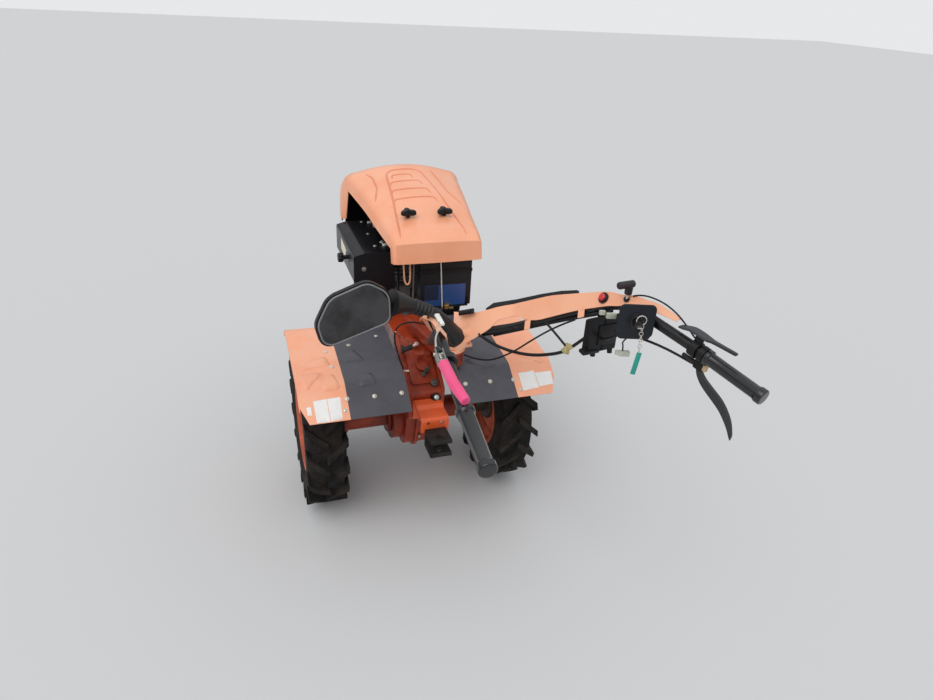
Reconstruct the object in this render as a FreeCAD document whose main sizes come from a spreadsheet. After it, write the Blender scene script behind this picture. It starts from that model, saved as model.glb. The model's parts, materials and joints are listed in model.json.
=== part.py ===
import FreeCAD, Part
import math
import os
from FreeCAD import Placement, Rotation, Vector

# Two-wheeled walking tractor. Millimetres, +X right, +Y forward, +Z up.
# The origin is on the ground, midway between the wheels under the axle.

SIZES = (
    # name, value, meaning
    ("wheel_rad", 284, "ground to axle, over the lugs"),
    ("track_half", 338, "middle of the tractor to middle of a tyre"),
    ("tyre_wide", 134, "tyre section width"),
    ("carcass_rad", 264, "tyre radius between the lugs"),
    ("bead_rad", 156, "tyre radius at the rim"),
    ("bead_half", 50, "half width of the tyre at the rim"),
    ("lug_wide", 25, "lug width along the tread"),
    ("lug_lean", 62, "how far a lug trails from middle to shoulder"),
    ("lug_count", 17, "lugs on each half of the tread"),
    ("rim_sheet", 4, "rim steel thickness"),
    ("rim_dish", 26, "offset of the wheel disc from the tyre's middle"),
    ("rim_lip", 12, "height of the rim flange"),
    ("hand_hole_rad", 17, "hand hole radius in the wheel disc"),
    ("seat_gap", 0.3, "clearance between seated pieces"),
    ("hub_rad", 68, "hub flange radius"),
    ("hub_plate", 12, "hub flange thickness"),
    ("boss_rad", 38, "hub boss radius"),
    ("stud_ring", 48, "radius of the ring of wheel studs"),
    ("stud_rad", 6, "wheel stud radius"),
    ("half_shaft_rad", 17.5, "half shaft radius"),
    ("axle_tube_rad", 42, "axle tube radius"),
    ("axle_tube_end", 250, "outer end of the axle tube"),
    ("axle_flange_rad", 66, "axle tube flange radius"),
    ("axle_flange", 14, "axle tube flange thickness"),
    ("case_half", 60, "half width of the gearbox"),
    ("case_low", 186, "lowest face of the gearbox"),
    ("case_top", 622, "top face of the gearbox"),
    ("case_back", -232, "rear face of the gearbox"),
    ("case_front", 150, "front face of the gearbox"),
    ("tail_low", 398, "underside of the gearbox tail"),
    ("tail_top", 498, "upper edge of the gearbox tail"),
    ("case_wall", 12, "rib and cover thickness of the gearbox"),
    ("hitch_wide", 92, "hitch bracket width"),
    ("hitch_plate", 8, "hitch bracket thickness"),
    ("hitch_back", -344, "rear face of the hitch bracket"),
    ("hitch_hole_rad", 6.5, "bolt holes in the hitch flange"),
    ("hitch_hole_gap", 44, "spacing of the bolt holes in the hitch flange"),
    ("jaw_wide", 70, "hitch jaw width"),
    ("jaw_deep", 78, "hitch jaw length"),
    ("jaw_cheek", 14, "thickness of each jaw plate"),
    ("jaw_mouth", 34, "opening between the jaw plates"),
    ("pin_bore_rad", 10.5, "drawbar pin bore radius"),
    ("fender_in", 83, "inner edge of a fender"),
    ("fender_seam", 276, "seam between the fender's two sections"),
    ("fender_out", 424, "outer edge of a fender"),
    ("fender_sheet", 2.5, "fender sheet thickness"),
    ("fender_back", -366, "rear edge of a fender"),
    ("fender_back_z", 524, "height of the rear edge"),
    ("fender_bend", -262, "fender's rear bend"),
    ("fender_bend_z", 596, "height at the rear bend"),
    ("fender_crest", 70, "fender's crest"),
    ("fender_crest_z", 634, "height of the crest"),
    ("fender_front", 168, "front edge of a fender"),
    ("fender_front_z", 574, "height of the front edge"),
    ("fender_skirt", 16, "turned-down outer edge of a fender"),
    ("fender_corner", 62, "cut-off corners of the outer section"),
    ("strap_wide", 40, "fender support width"),
    ("strap_sheet", 5, "fender support thickness"),
    ("engine_mid", 125, "middle of the engine and hood across the tractor"),
    ("engine_half", 112, "half width of the crankcase"),
    ("engine_back", 322, "rear face of the crankcase"),
    ("engine_front", 598, "front face of the crankcase"),
    ("engine_base", 404, "underside of the crankcase"),
    ("engine_deck", 640, "top of the crankcase"),
    ("barrel_half", 74, "half width of the finned barrel"),
    ("fin_count", 8, "cooling fins"),
    ("fin_pitch", 17, "spacing of the cooling fins"),
    ("fin_thick", 4, "thickness of a fin"),
    ("head_high", 44, "height of the rocker cover"),
    ("shroud_rad", 128, "radius of the fan shroud"),
    ("shroud_deep", 62, "depth of the fan shroud"),
    ("crank_y", 462, "crankshaft's place along the tractor"),
    ("crank_z", 528, "crankshaft height"),
    ("starter_rad", 88, "radius of the pull starter cover"),
    ("clutch_rad", 104, "radius of the clutch drum housing"),
    ("frame_z", 384, "underside of the engine frame"),
    ("frame_high", 20, "height of the engine frame's flanges"),
    ("frame_sheet", 6, "engine frame thickness"),
    ("frame_front", 700, "front end of the engine frame"),
    ("bumper_tube", 15, "bumper tube radius"),
    ("stand_tube", 13, "stand leg radius"),
    ("stand_spread", 150, "half spread of the stand's legs"),
    ("hood_sheet", 3, "hood thickness"),
    ("hoop_top", 946, "top of the hoop that carries the hood"),
    ("hoop_half", 98, "half width of the hoop"),
    ("knob_y", 245, "place of the hood's knobs along the tractor"),
    ("battery_left", 76, "left face of the battery"),
    ("battery_wide", 184, "battery width"),
    ("battery_back", 150, "rear face of the battery"),
    ("battery_deep", 128, "battery depth"),
    ("battery_base", 633, "underside of the battery"),
    ("battery_high", 176, "battery height without its posts"),
    ("tray_sheet", 4, "battery tray thickness"),
    ("house_left", -152, "left face of the side housing"),
    ("house_right", -4, "right face of the side housing"),
    ("house_back", 215, "rear face of the side housing"),
    ("house_front", 600, "front face of the side housing"),
    ("house_top", 830, "top of the side housing"),
    ("house_low", 668, "underside of the side housing"),
    ("swivel_x", 75, "swivel axis across the tractor"),
    ("swivel_y", -245, "swivel axis along the tractor"),
    ("swivel_z", 668, "underside of the swivel head"),
    ("swivel_rad", 46, "swivel plate radius"),
    ("swivel_gap", 0.5, "running gap under the swivel head"),
    ("swing_deg", 7.7, "swing of the handlebar as it stands"),
    ("arm_rad", 14, "handlebar tube radius"),
    ("grip_rad", 17, "grip radius"),
    ("cover_sheet", 2.5, "arm cover thickness"),
    ("cover_gap", 0.9, "clearance between arm and cover"),
    ("panel_wide", 84, "switch panel width"),
    ("panel_high", 74, "switch panel height"),
    ("grip_long", 168, "grip length"),
    ("mirror_wide", 226, "mirror width"),
    ("mirror_high", 200, "mirror height"),
    ("mirror_deep", 48, "mirror depth"),
    ("mirror_arm_rad", 22, "radius of the mirror's rubber arm"),
)

doc = FreeCAD.newDocument("walking_tractor")
sheet = doc.addObject("Spreadsheet::Sheet", "Sizes")
for row, (alias, value, meaning) in enumerate(SIZES, 1):
    sheet.set(f"A{row}", alias)
    sheet.set(f"B{row}", str(value))
    sheet.set(f"C{row}", meaning)
    sheet.setAlias(f"B{row}", alias)
doc.recompute()

NODES = []


def size(alias):
    """Value of one cell of the sheet."""
    return float(sheet.get(alias))


def point(a, b, c=0.0):
    return Vector(a, b, c)


# Geometry helpers


def rounded_run(corners, closed):
    """Line and arc edges through corners, each (Vector, radius)."""
    count = len(corners)
    spans = []
    for i, (here, radius) in enumerate(corners):
        inner = closed or 0 < i < count - 1
        if not inner or radius <= 0:
            spans.append((here, here, None))
            continue
        back = (corners[i - 1][0] - here).normalize()
        ahead = (corners[(i + 1) % count][0] - here).normalize()
        half = back.getAngle(ahead) / 2
        reach = radius / math.tan(half)
        middle = here + (back + ahead).normalize() * (radius / math.sin(half) - radius)
        spans.append((here + back * reach, here + ahead * reach, middle))
    edges = []
    for i, (start, end, middle) in enumerate(spans):
        if middle is not None:
            edges.append(Part.Arc(start, middle, end))
        if i < count - 1 or closed:
            onward = spans[(i + 1) % count][0]
            if end.distanceToPoint(onward) > 1e-5:
                edges.append(Part.LineSegment(end, onward))
    return edges


def outline(corners):
    """Closed outline from (a, b, radius) corners."""
    return rounded_run([(point(a, b), r) for a, b, r in corners], True)


def bent_sheet(corners, thick):
    """Closed outline of a bent sheet, thickened to the left of its run."""
    here = [point(a, b) for a, b, r in corners]
    along = [(here[i + 1] - here[i]).normalize() for i in range(len(here) - 1)]
    side = [point(-d.y, d.x) for d in along]
    inside = []
    for i, (a, b, radius) in enumerate(corners):
        before = side[max(i - 1, 0)]
        after = side[min(i, len(side) - 1)]
        shift = (before + after) * (thick / (1 + before.dot(after)))
        turn = 0.0
        if 0 < i < len(corners) - 1:
            turn = along[i - 1].cross(along[i]).z
        inner_radius = 0.0
        if radius > 0:
            inner_radius = radius - thick if turn > 0 else radius + thick
        inside.append((here[i] + shift, inner_radius))
    outer = [(here[i], corners[i][2]) for i in range(len(corners))]
    ends = [(outer[0][0], 0), *outer[1:-1], (outer[-1][0], 0)]
    back = [(inside[-1][0], 0), *reversed(inside[1:-1]), (inside[0][0], 0)]
    return rounded_run(ends + back, True)


def wire(edges):
    return Part.Wire([edge.toShape() for edge in edges])


def tube(corners, radius):
    """Round bar along straight runs and arcs, from (Vector, bend radius) corners."""
    run = wire(rounded_run(corners, False))
    start = corners[0][0]
    heading = corners[1][0] - start
    ring = Part.Wire([Part.Circle(start, heading, radius).toShape()])
    return run.makePipeShell([ring], True, True)


def cord_corners(points):
    """Corners of a cable's run, each arc as large as its two runs allow."""
    corners = [(points[0], 0)]
    for i in range(1, len(points) - 1):
        back = points[i - 1] - points[i]
        ahead = points[i + 1] - points[i]
        turn = math.pi - back.getAngle(ahead)
        shorter = min(back.Length, ahead.Length)
        corners.append((points[i], 0.45 * shorter / math.tan(turn / 2)))
    corners.append((points[-1], 0))
    return corners


def prism(edges, along):
    """Solid of a closed outline pushed along a vector."""
    return Part.Face(wire(edges)).extrude(along)


def flat_to(shape, right, up):
    """Move a shape drawn in XY so that its X runs along right and its Y along up."""
    normal = right.cross(up)
    matrix = FreeCAD.Matrix(right.x, up.x, normal.x, 0, right.y, up.y, normal.y, 0,
                            right.z, up.z, normal.z, 0, 0, 0, 0, 1)
    return shape.transformed(matrix)


SIDE_VIEW = (Vector(0, 1, 0), Vector(0, 0, 1))
REAR_VIEW = (Vector(1, 0, 0), Vector(0, 0, 1))


def keep(node, item):
    """Register a finished sub-part under its node name."""
    item.Label = node
    NODES.append((node, item))
    return item


def feature(node, shape, placement=None):
    """Sub-part whose shape is set directly."""
    item = doc.addObject("Part::Feature", node)
    item.Shape = shape
    if placement is not None:
        item.Placement = placement.multiply(item.Placement)
    return keep(node, item)


def primitive(kind, name, at, turn=None, **exprs):
    """Part primitive with its sizes bound to the sheet."""
    item = doc.addObject(f"Part::{kind}", name)
    for prop, expression in exprs.items():
        item.setExpression(prop, expression)
    item.Placement = Placement(Vector(*at), turn or Rotation())
    return item


def joined(name, items):
    item = doc.addObject("Part::MultiFuse", name)
    item.Shapes = items
    return item


def carved(name, base, tool):
    item = doc.addObject("Part::Cut", name)
    item.Base = base
    item.Tool = tool
    return item


ALONG_X = Rotation(Vector(0, 1, 0), 90)
ALONG_Y = Rotation(Vector(1, 0, 0), -90)


class Body:
    """A PartDesign body with its sketches and features."""

    def __init__(self, node):
        self.node = node
        self.body = doc.addObject("PartDesign::Body", node)
        self.count = 0

    def sketch(self, role, edges, offset="0", flip=False):
        """Sketch on an origin plane, moved along its normal by an expression."""
        self.count += 1
        plane = next(f for f in self.body.Origin.OriginFeatures if f.Role == role)
        item = self.body.newObject("Sketcher::SketchObject", f"{self.node}_sketch{self.count}")
        item.AttachmentSupport = [(plane, "")]
        item.MapMode = "FlatFace"
        for edge in edges:
            item.addGeometry(edge, False)
        if offset != "0":
            item.setExpression("AttachmentOffset.Base.z", offset)
        return item

    def pad(self, sketch, length, midplane=False, backward=False):
        item = self.body.newObject("PartDesign::Pad", f"{self.node}_pad{self.count}")
        item.Profile = sketch
        item.setExpression("Length", length)
        item.Midplane = midplane
        item.Reversed = backward
        return item

    def pocket(self, sketch, length, midplane=False, backward=False):
        item = self.body.newObject("PartDesign::Pocket", f"{self.node}_pocket{self.count}")
        item.Profile = sketch
        item.setExpression("Length", length)
        item.Midplane = midplane
        item.Reversed = backward
        return item

    def revolve(self, sketch, axis):
        item = self.body.newObject("PartDesign::Revolution", f"{self.node}_turn{self.count}")
        item.Profile = sketch
        item.ReferenceAxis = (sketch, [axis])
        item.Angle = 360
        return item

    def polar(self, feature_item, axis_role, count):
        item = self.body.newObject("PartDesign::PolarPattern", f"{self.node}_ring{self.count}")
        axis = next(f for f in self.body.Origin.OriginFeatures if f.Role == axis_role)
        item.Originals = [feature_item]
        item.Axis = (axis, [""])
        item.Angle = 360
        item.Occurrences = count
        self.body.Tip = item
        return item

    def done(self, placement=None):
        if placement is not None:
            self.body.Placement = placement
        return keep(self.node, self.body)


def circle(a, b, radius):
    return Part.Circle(point(a, b), Vector(0, 0, 1), radius)


def box_outline(a_low, b_low, a_high, b_high, radius=0.0):
    return outline([(a_low, b_low, radius), (a_high, b_low, radius),
                    (a_high, b_high, radius), (a_low, b_high, radius)])


# Wheels

SIDES = (("left", -1), ("right", 1))


def tyre_shape():
    """Tyre about the X axis: a carcass turned from flat bands and its slanted lugs."""
    half = size("tyre_wide") / 2
    carcass_rad = size("carcass_rad")
    bead = size("bead_rad")
    bead_half = size("bead_half")
    band = [
        # across the tyre, radius
        (-bead_half, bead), (-half, bead + 42), (-half, carcass_rad - 34),
        (-half + 16, carcass_rad), (half - 16, carcass_rad), (half, carcass_rad - 34),
        (half, bead + 42), (bead_half, bead),
    ]
    ring = [point(a, b) for a, b in band]
    profile = Part.makePolygon([*ring, ring[0]])
    tyre = Part.Face(profile).revolve(Vector(), Vector(1, 0, 0), 360)
    lug_half = size("lug_wide") / 2
    top = math.sqrt(size("wheel_rad") ** 2 - lug_half ** 2)
    lean = size("lug_lean")
    lugs = []
    count = int(size("lug_count"))
    for side in (-1, 1):
        inner = -side * 4
        outer = side * (half + 1.5)
        corners = [point(inner, -lug_half, 0), point(inner, lug_half, 0),
                   point(outer, lug_half - lean, 0), point(outer, -lug_half - lean, 0)]
        lug = Part.Face(Part.makePolygon([*corners, corners[0]]))
        low = carcass_rad - 40
        lug.translate(Vector(0, 0, low))
        lug = lug.extrude(Vector(0, 0, top - low))
        for i in range(count):
            copy = lug.copy()
            copy.rotate(Vector(), Vector(1, 0, 0), 360 / count * (i + (side + 1) / 4))
            lugs.append(copy)
    limit = Part.makeCylinder(size("wheel_rad"), size("tyre_wide") + 8,
                              Vector(-half - 4, 0, 0), Vector(1, 0, 0))
    tyre = tyre.multiFuse(lugs)
    return tyre.common(limit)


def wheel_place(side):
    turn = Rotation() if side > 0 else Rotation(Vector(0, 0, 1), 180)
    return Placement(Vector(side * size("track_half"), 0, size("wheel_rad")), turn)


def build_wheels():
    tyre = tyre_shape()
    for name, side in SIDES:
        feature(f"tyre_{name}", tyre, wheel_place(side))
        build_rim(name, side)
        build_hub(name, side)


def build_rim(name, side):
    """Pressed steel wheel: a dropped-centre barrel and a dished disc with hand holes."""
    half = size("bead_half")
    seat = size("bead_rad") - size("seat_gap")
    sheet_thick = size("rim_sheet")
    dish = size("rim_dish")
    lip = size("rim_lip")
    rim = Body(f"rim_{name}")
    barrel = bent_sheet([
        (-half - sheet_thick - 1, seat + lip, 0), (-half - 1, seat - 2, 4), (-22, seat - 4, 8),
        (-14, seat - 24, 8), (14, seat - 24, 8), (22, seat - 4, 8), (half + 1, seat - 2, 4),
        (half + sheet_thick + 1, seat + lip, 0)], -sheet_thick)
    sketch = rim.sketch("XY_Plane", barrel)
    rim.revolve(sketch, "H_Axis")
    disc = bent_sheet([
        (-dish, 30, 0), (-dish, 92, 10), (-dish + 18, 108, 10), (-10, seat - 24 - sheet_thick / 2, 0)],
        -sheet_thick)
    sketch = rim.sketch("XY_Plane", disc)
    rim.revolve(sketch, "H_Axis")
    hole = rim.sketch("YZ_Plane", [circle(0, 104, size("hand_hole_rad"))])
    pocket = rim.pocket(hole, "2 * Sizes.rim_dish", midplane=True)
    rim.polar(pocket, "X_Axis", 6)
    hole = rim.sketch("YZ_Plane", [circle(0, size("stud_ring"), size("stud_rad") + 0.4)])
    pocket = rim.pocket(hole, "4 * Sizes.rim_dish", midplane=True)
    rim.polar(pocket, "X_Axis", 5)
    rim.done(wheel_place(side))


def build_hub(name, side):
    """Wheel hub: flange with studs, boss, and the half shaft that runs into the axle tube."""
    inner = -(size("track_half") - size("case_half") - 20)
    flange = -size("rim_dish") - size("seat_gap")
    shaft = size("half_shaft_rad")
    boss = size("boss_rad")
    plate = size("hub_plate")
    hub = Body(f"hub_{name}")
    mouth = -(size("track_half") - size("axle_tube_end") - 6)
    profile = outline([
        (inner, 0, 0), (inner, shaft, 0), (mouth, shaft, 0), (mouth, boss, 6),
        (flange - plate, boss, 0), (flange - plate, size("hub_rad"), 4),
        (flange, size("hub_rad"), 0), (flange, 29, 0), (flange + 30, 29, 4), (flange + 30, 0, 0)])
    sketch = hub.sketch("XY_Plane", profile)
    hub.revolve(sketch, "H_Axis")
    stud = hub.sketch("YZ_Plane", [circle(0, size("stud_ring"), size("stud_rad"))],
                      "-Sizes.rim_dish - Sizes.seat_gap - Sizes.hub_plate")
    pad = hub.pad(stud, "Sizes.hub_plate + 26")
    hub.polar(pad, "X_Axis", 5)
    hub.done(wheel_place(side))


# Gearbox and axle


def build_gearbox():
    half = size("case_half")
    low, top = size("case_low"), size("case_top")
    back, front = size("case_back"), size("case_front")
    tail_low, tail_top = size("tail_low"), size("tail_top")
    axle = size("wheel_rad")
    wall = size("case_wall")
    case = Body("gearbox")
    side_view = outline([
        (110, low, 78), (-108, low, 78), (-150, 330, 40), (back, tail_low, 22),
        (back, tail_top, 18), (-52, top, 34), (front - 26, top, 22), (front, 560, 40),
        (front, 300, 60)])
    case.pad(case.sketch("YZ_Plane", side_view), "2 * Sizes.case_half", midplane=True)
    case.pad(case.sketch("YZ_Plane", [circle(0, axle, 92)]), "2 * Sizes.case_half + 36", midplane=True)
    ribs = outline([
        (back + 4, tail_low + 30, 10), (back - 2, tail_top + wall, 10), (-50, top + wall, 20),
        (-20, top + wall, 8), (-20, top - 40, 0)])
    for sign in (-1, 1):
        sketch = case.sketch("YZ_Plane", ribs, f"{sign} * (Sizes.case_half - 1) - 6")
        case.pad(sketch, "Sizes.case_wall")
    end = size("engine_back") - size("seat_gap")
    neck = outline([(front - 20, 404, 20), (end, 440, 20), (end, 600, 20), (front - 20, 586, 20)])
    case.pad(case.sketch("YZ_Plane", neck, "-Sizes.case_half"), "Sizes.case_half * 1.4")
    case.done()

    feature("gearbox_cover", gearbox_cover())
    build_axle_tubes()


def gearbox_cover():
    """Shift cover on the sloping back of the gearbox, with the selector lever on top."""
    back, top = size("case_back"), size("case_top")
    start = Vector(0, back, size("tail_top"))
    end = Vector(0, -52, top)
    slope = (end - start).normalize()
    up = Vector(1, 0, 0).cross(slope)
    middle = start + slope * 96
    wide = size("case_half") - size("case_wall") - 4
    plate = prism(box_outline(-wide, -62, wide, 78, 10), Vector(0, 0, 10))
    boss = Part.makeCylinder(19, 26)
    neck = Part.makeCylinder(8, 62, Vector(0, 26, 0))
    cross = Part.makeCylinder(6, 54, Vector(-27, 26, 54), Vector(1, 0, 0))
    shape = plate.multiFuse([boss, neck, cross])
    matrix = FreeCAD.Matrix(1, slope.x, up.x, middle.x, 0, slope.y, up.y, middle.y,
                            0, slope.z, up.z, middle.z, 0, 0, 0, 1)
    return shape.transformed(matrix)


def build_axle_tubes():
    """Axle tubes bolted to the gearbox, bored for the half shafts."""
    start = size("case_half") + 18
    end = size("axle_tube_end")
    bore = size("half_shaft_rad") + size("seat_gap")
    flange = size("axle_flange")
    profile = outline([
        (start, bore, 0), (start, size("axle_flange_rad"), 3),
        (start + flange, size("axle_flange_rad"), 3), (start + flange, size("axle_tube_rad"), 6),
        (end - flange, size("axle_tube_rad"), 0), (end - flange, size("axle_tube_rad") + 10, 3),
        (end, size("axle_tube_rad") + 10, 3), (end, bore, 0)])
    right = Part.Face(wire(profile)).revolve(Vector(), Vector(1, 0, 0), 360)
    right.translate(Vector(0, 0, size("wheel_rad")))
    left = right.mirror(Vector(), Vector(1, 0, 0))
    feature("axle_tubes", Part.makeCompound([left, right]))


# Hitch


def build_hitch():
    """Stepped hitch bracket on the gearbox tail and the jaw that takes a drawbar pin."""
    back, rear = size("case_back"), size("hitch_back")
    plate = size("hitch_plate")
    top = size("tail_top") - 16
    bracket = Body("hitch_bracket")
    profile = bent_sheet([
        (back - size("seat_gap"), top - 74, 0), (back - size("seat_gap"), top, 12),
        (back - 44, top, 10), (back - 54, top - 12, 10), (rear, top - 12, 12),
        (rear, top - 62, 0)], plate)
    bracket.pad(bracket.sketch("YZ_Plane", profile), "Sizes.hitch_wide", midplane=True)
    gap = size("hitch_hole_gap") / 2
    holes = [circle(x, top - 30, size("hitch_hole_rad")) for x in (-gap, gap)]
    sketch = bracket.sketch("XZ_Plane", holes, "-Sizes.hitch_back - 40")
    bracket.pocket(sketch, "80", midplane=True)
    bracket.done()

    jaw = Body("hitch_jaw")
    front = rear - size("seat_gap")
    deep = size("jaw_deep")
    cheek, mouth = size("jaw_cheek"), size("jaw_mouth")
    lid = top - 48
    low = lid - 2 * cheek - mouth
    side_view = outline([
        (front, low, 3), (front, lid, 3), (front - deep, lid, 3), (front - deep, lid - cheek, 3),
        (front - 16, lid - cheek, 5), (front - 16, low + cheek, 5), (front - deep, low + cheek, 3),
        (front - deep, low, 3)])
    jaw.pad(jaw.sketch("YZ_Plane", side_view), "Sizes.jaw_wide", midplane=True)
    bore = jaw.sketch("XY_Plane", [circle(0, front - deep + 26, size("pin_bore_rad"))], "Sizes.tail_top")
    jaw.pocket(bore, "400")
    jaw.done()


# Fenders


def fender_run():
    return [
        (size("fender_back"), size("fender_back_z"), 0),
        (size("fender_bend"), size("fender_bend_z"), 40),
        (size("fender_crest"), size("fender_crest_z"), 60),
        (size("fender_front"), size("fender_front_z"), 0),
    ]


def build_fenders():
    """Bent sheet over each wheel, a dark inner section and a coloured outer section."""
    for name, side in SIDES:
        inner = Body(f"fender_inner_{name}")
        edges = bent_sheet(fender_run(), -size("fender_sheet"))
        offset = "Sizes.fender_in" if side > 0 else "-Sizes.fender_seam"
        inner.pad(inner.sketch("YZ_Plane", edges, offset), "Sizes.fender_seam - Sizes.fender_in")
        inner.done()
        outer = Body(f"fender_outer_{name}")
        offset = "Sizes.fender_seam" if side > 0 else "-Sizes.fender_out"
        outer.pad(outer.sketch("YZ_Plane", edges, offset), "Sizes.fender_out - Sizes.fender_seam")
        skirt = bent_sheet(fender_run(), -size("fender_skirt"))
        offset = "Sizes.fender_out - Sizes.fender_sheet" if side > 0 else "-Sizes.fender_out"
        outer.pad(outer.sketch("YZ_Plane", skirt, offset), "Sizes.fender_sheet")
        corner = size("fender_corner")
        rim = side * size("fender_out")
        back, front = size("fender_back"), size("fender_front")
        for edge, inward in ((back, 1), (front, -1)):
            cut = outline([(rim + side * 5, edge - inward * 5, 0),
                           (rim - side * corner * 0.45, edge - inward * 5, 0),
                           (rim + side * 5, edge + inward * corner, 0)])
            outer.pocket(outer.sketch("XY_Plane", cut, "Sizes.fender_crest_z + 60"), "400")
        outer.done()
    right = fender_strap()
    left = right.mirror(Vector(), Vector(1, 0, 0))
    feature("fender_straps", Part.makeCompound([left, right]))


def fender_strap():
    """Strap from the axle tube's flange up and out under the fender."""
    strap = size("strap_wide")
    thick = size("strap_sheet")
    foot = size("case_half") + 18 + size("axle_flange") + size("seat_gap")
    rise = size("fender_crest_z") - size("fender_bend_z")
    run = size("fender_crest") - size("fender_bend")
    under = size("fender_crest_z") - rise / run * (size("fender_crest") + strap / 2) \
        - size("fender_sheet") * 2 - thick
    edges = bent_sheet([
        (foot, size("wheel_rad") + size("axle_tube_rad") + 4, 0), (foot, under + thick, 14),
        (size("fender_out") - 30, under + thick, 0)], -thick)
    plate = flat_to(prism(edges, Vector(0, 0, strap)), *REAR_VIEW)
    plate.translate(Vector(0, strap / 2, 0))
    pads = []
    for x in (size("fender_in") + 34, size("fender_seam") - 40, size("fender_seam") + 60):
        reach = size("fender_crest_z") - rise / run * (size("fender_crest") + 6) \
            - size("fender_sheet") - 2 * size("seat_gap") - 0.4
        pads.append(Part.makeCylinder(9, reach - under - thick + 1, Vector(x, -6, under + thick - 1)))
    return plate.multiFuse(pads)


# Engine frame, bumper and stand


def build_frame():
    """Channel frame under the engine, welded up from bent plate."""
    base, high, thick = size("frame_z"), size("frame_high"), size("frame_sheet")
    left = -size("case_half") - size("seat_gap") - 12
    right = size("engine_mid") + size("engine_half") + 12
    back, front = size("case_front") + 6, size("frame_front")
    pan = bent_sheet([(left, base + high, 0), (left, base, 8), (right, base, 8),
                      (right, base + high, 0)], thick)
    shape = prism(pan, Vector(0, 0, front - back))
    shape = flat_to(shape, *REAR_VIEW)
    shape.translate(Vector(0, front, 0))
    lug = prism(box_outline(left, back - 6, left + thick * 2, back + 90), Vector(0, 0, 60))
    lug.translate(Vector(0, 0, base))
    lug_right = lug.copy()
    lug_right.translate(Vector(size("case_half") * 1.4 + 2 * size("seat_gap") + thick * 2, 0, 0))
    feature("engine_frame", shape.multiFuse([lug, lug_right, *stand_ears()]))

    bar = size("bumper_tube")
    low = base + bar + thick
    y_near, y_far = front - 30, front + 74
    width_low, width_high = left + bar, right - bar
    loop = [
        (Vector(width_low + 12, y_near, low), 0), (Vector(width_low + 12, y_far, low + 4), 40),
        (Vector(width_low + 12, y_far, low + 190), 60), (Vector(width_high - 12, y_far, low + 190), 60),
        (Vector(width_high - 12, y_far, low + 4), 40), (Vector(width_high - 12, y_near, low), 0)]
    hoop = tube(loop, bar)
    cross = Part.makeCylinder(bar - 3, width_high - width_low - 24,
                              Vector(width_low + 12, y_far, low + 96), Vector(1, 0, 0))
    feature("bumper", hoop.fuse(cross))


def stand_pivot():
    return Vector(size("engine_mid") - 33, size("frame_front") - 60, size("frame_z") - 22)


def stand_ears():
    """Ears under the frame with the pin that the stand turns on."""
    pivot = stand_pivot()
    thick = 6
    ear = outline([(pivot.y - 20, pivot.z - 16, 14), (pivot.y + 20, pivot.z - 16, 14),
                   (pivot.y + 30, size("frame_z"), 0), (pivot.y - 30, size("frame_z"), 0)])
    ears = []
    for x in (pivot.x - 46 - thick, pivot.x + 46):
        plate = prism(ear, Vector(0, 0, thick))
        plate = flat_to(plate, *SIDE_VIEW)
        plate.translate(Vector(x, 0, 0))
        ears.append(plate)
    web = Part.makeBox(92 + 2 * thick, 8, 22, Vector(pivot.x - 46 - thick, pivot.y + 24,
                                                     size("frame_z") - 22))
    pin = Part.makeCylinder(7, 92 + 4 * thick, Vector(pivot.x - 46 - 2 * thick, pivot.y, pivot.z),
                            Vector(1, 0, 0))
    return [*ears, web, pin]


def build_stand():
    """Parking stand, a bow of tube on a sleeve."""
    pivot = stand_pivot()
    leg = size("stand_tube")
    spread = size("stand_spread")
    sleeve = Part.makeCylinder(13, 88, Vector(pivot.x - 44, pivot.y, pivot.z), Vector(1, 0, 0))
    bore = Part.makeCylinder(7 + size("seat_gap"), 92, Vector(pivot.x - 46, pivot.y, pivot.z),
                             Vector(1, 0, 0))
    foot_z = leg
    corners = [
        (pivot + Vector(-28, 0, -4), 0), (Vector(pivot.x - 28, pivot.y + 3, pivot.z - 50), 30),
        (Vector(pivot.x - spread, pivot.y + 26, foot_z), 30),
        (Vector(pivot.x + spread, pivot.y + 26, foot_z), 30),
        (Vector(pivot.x + 28, pivot.y + 3, pivot.z - 50), 30), (pivot + Vector(28, 0, -4), 0)]
    bow = tube(corners, leg)
    feature("front_stand", bow.fuse(sleeve).cut(bore))


# Engine


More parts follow.
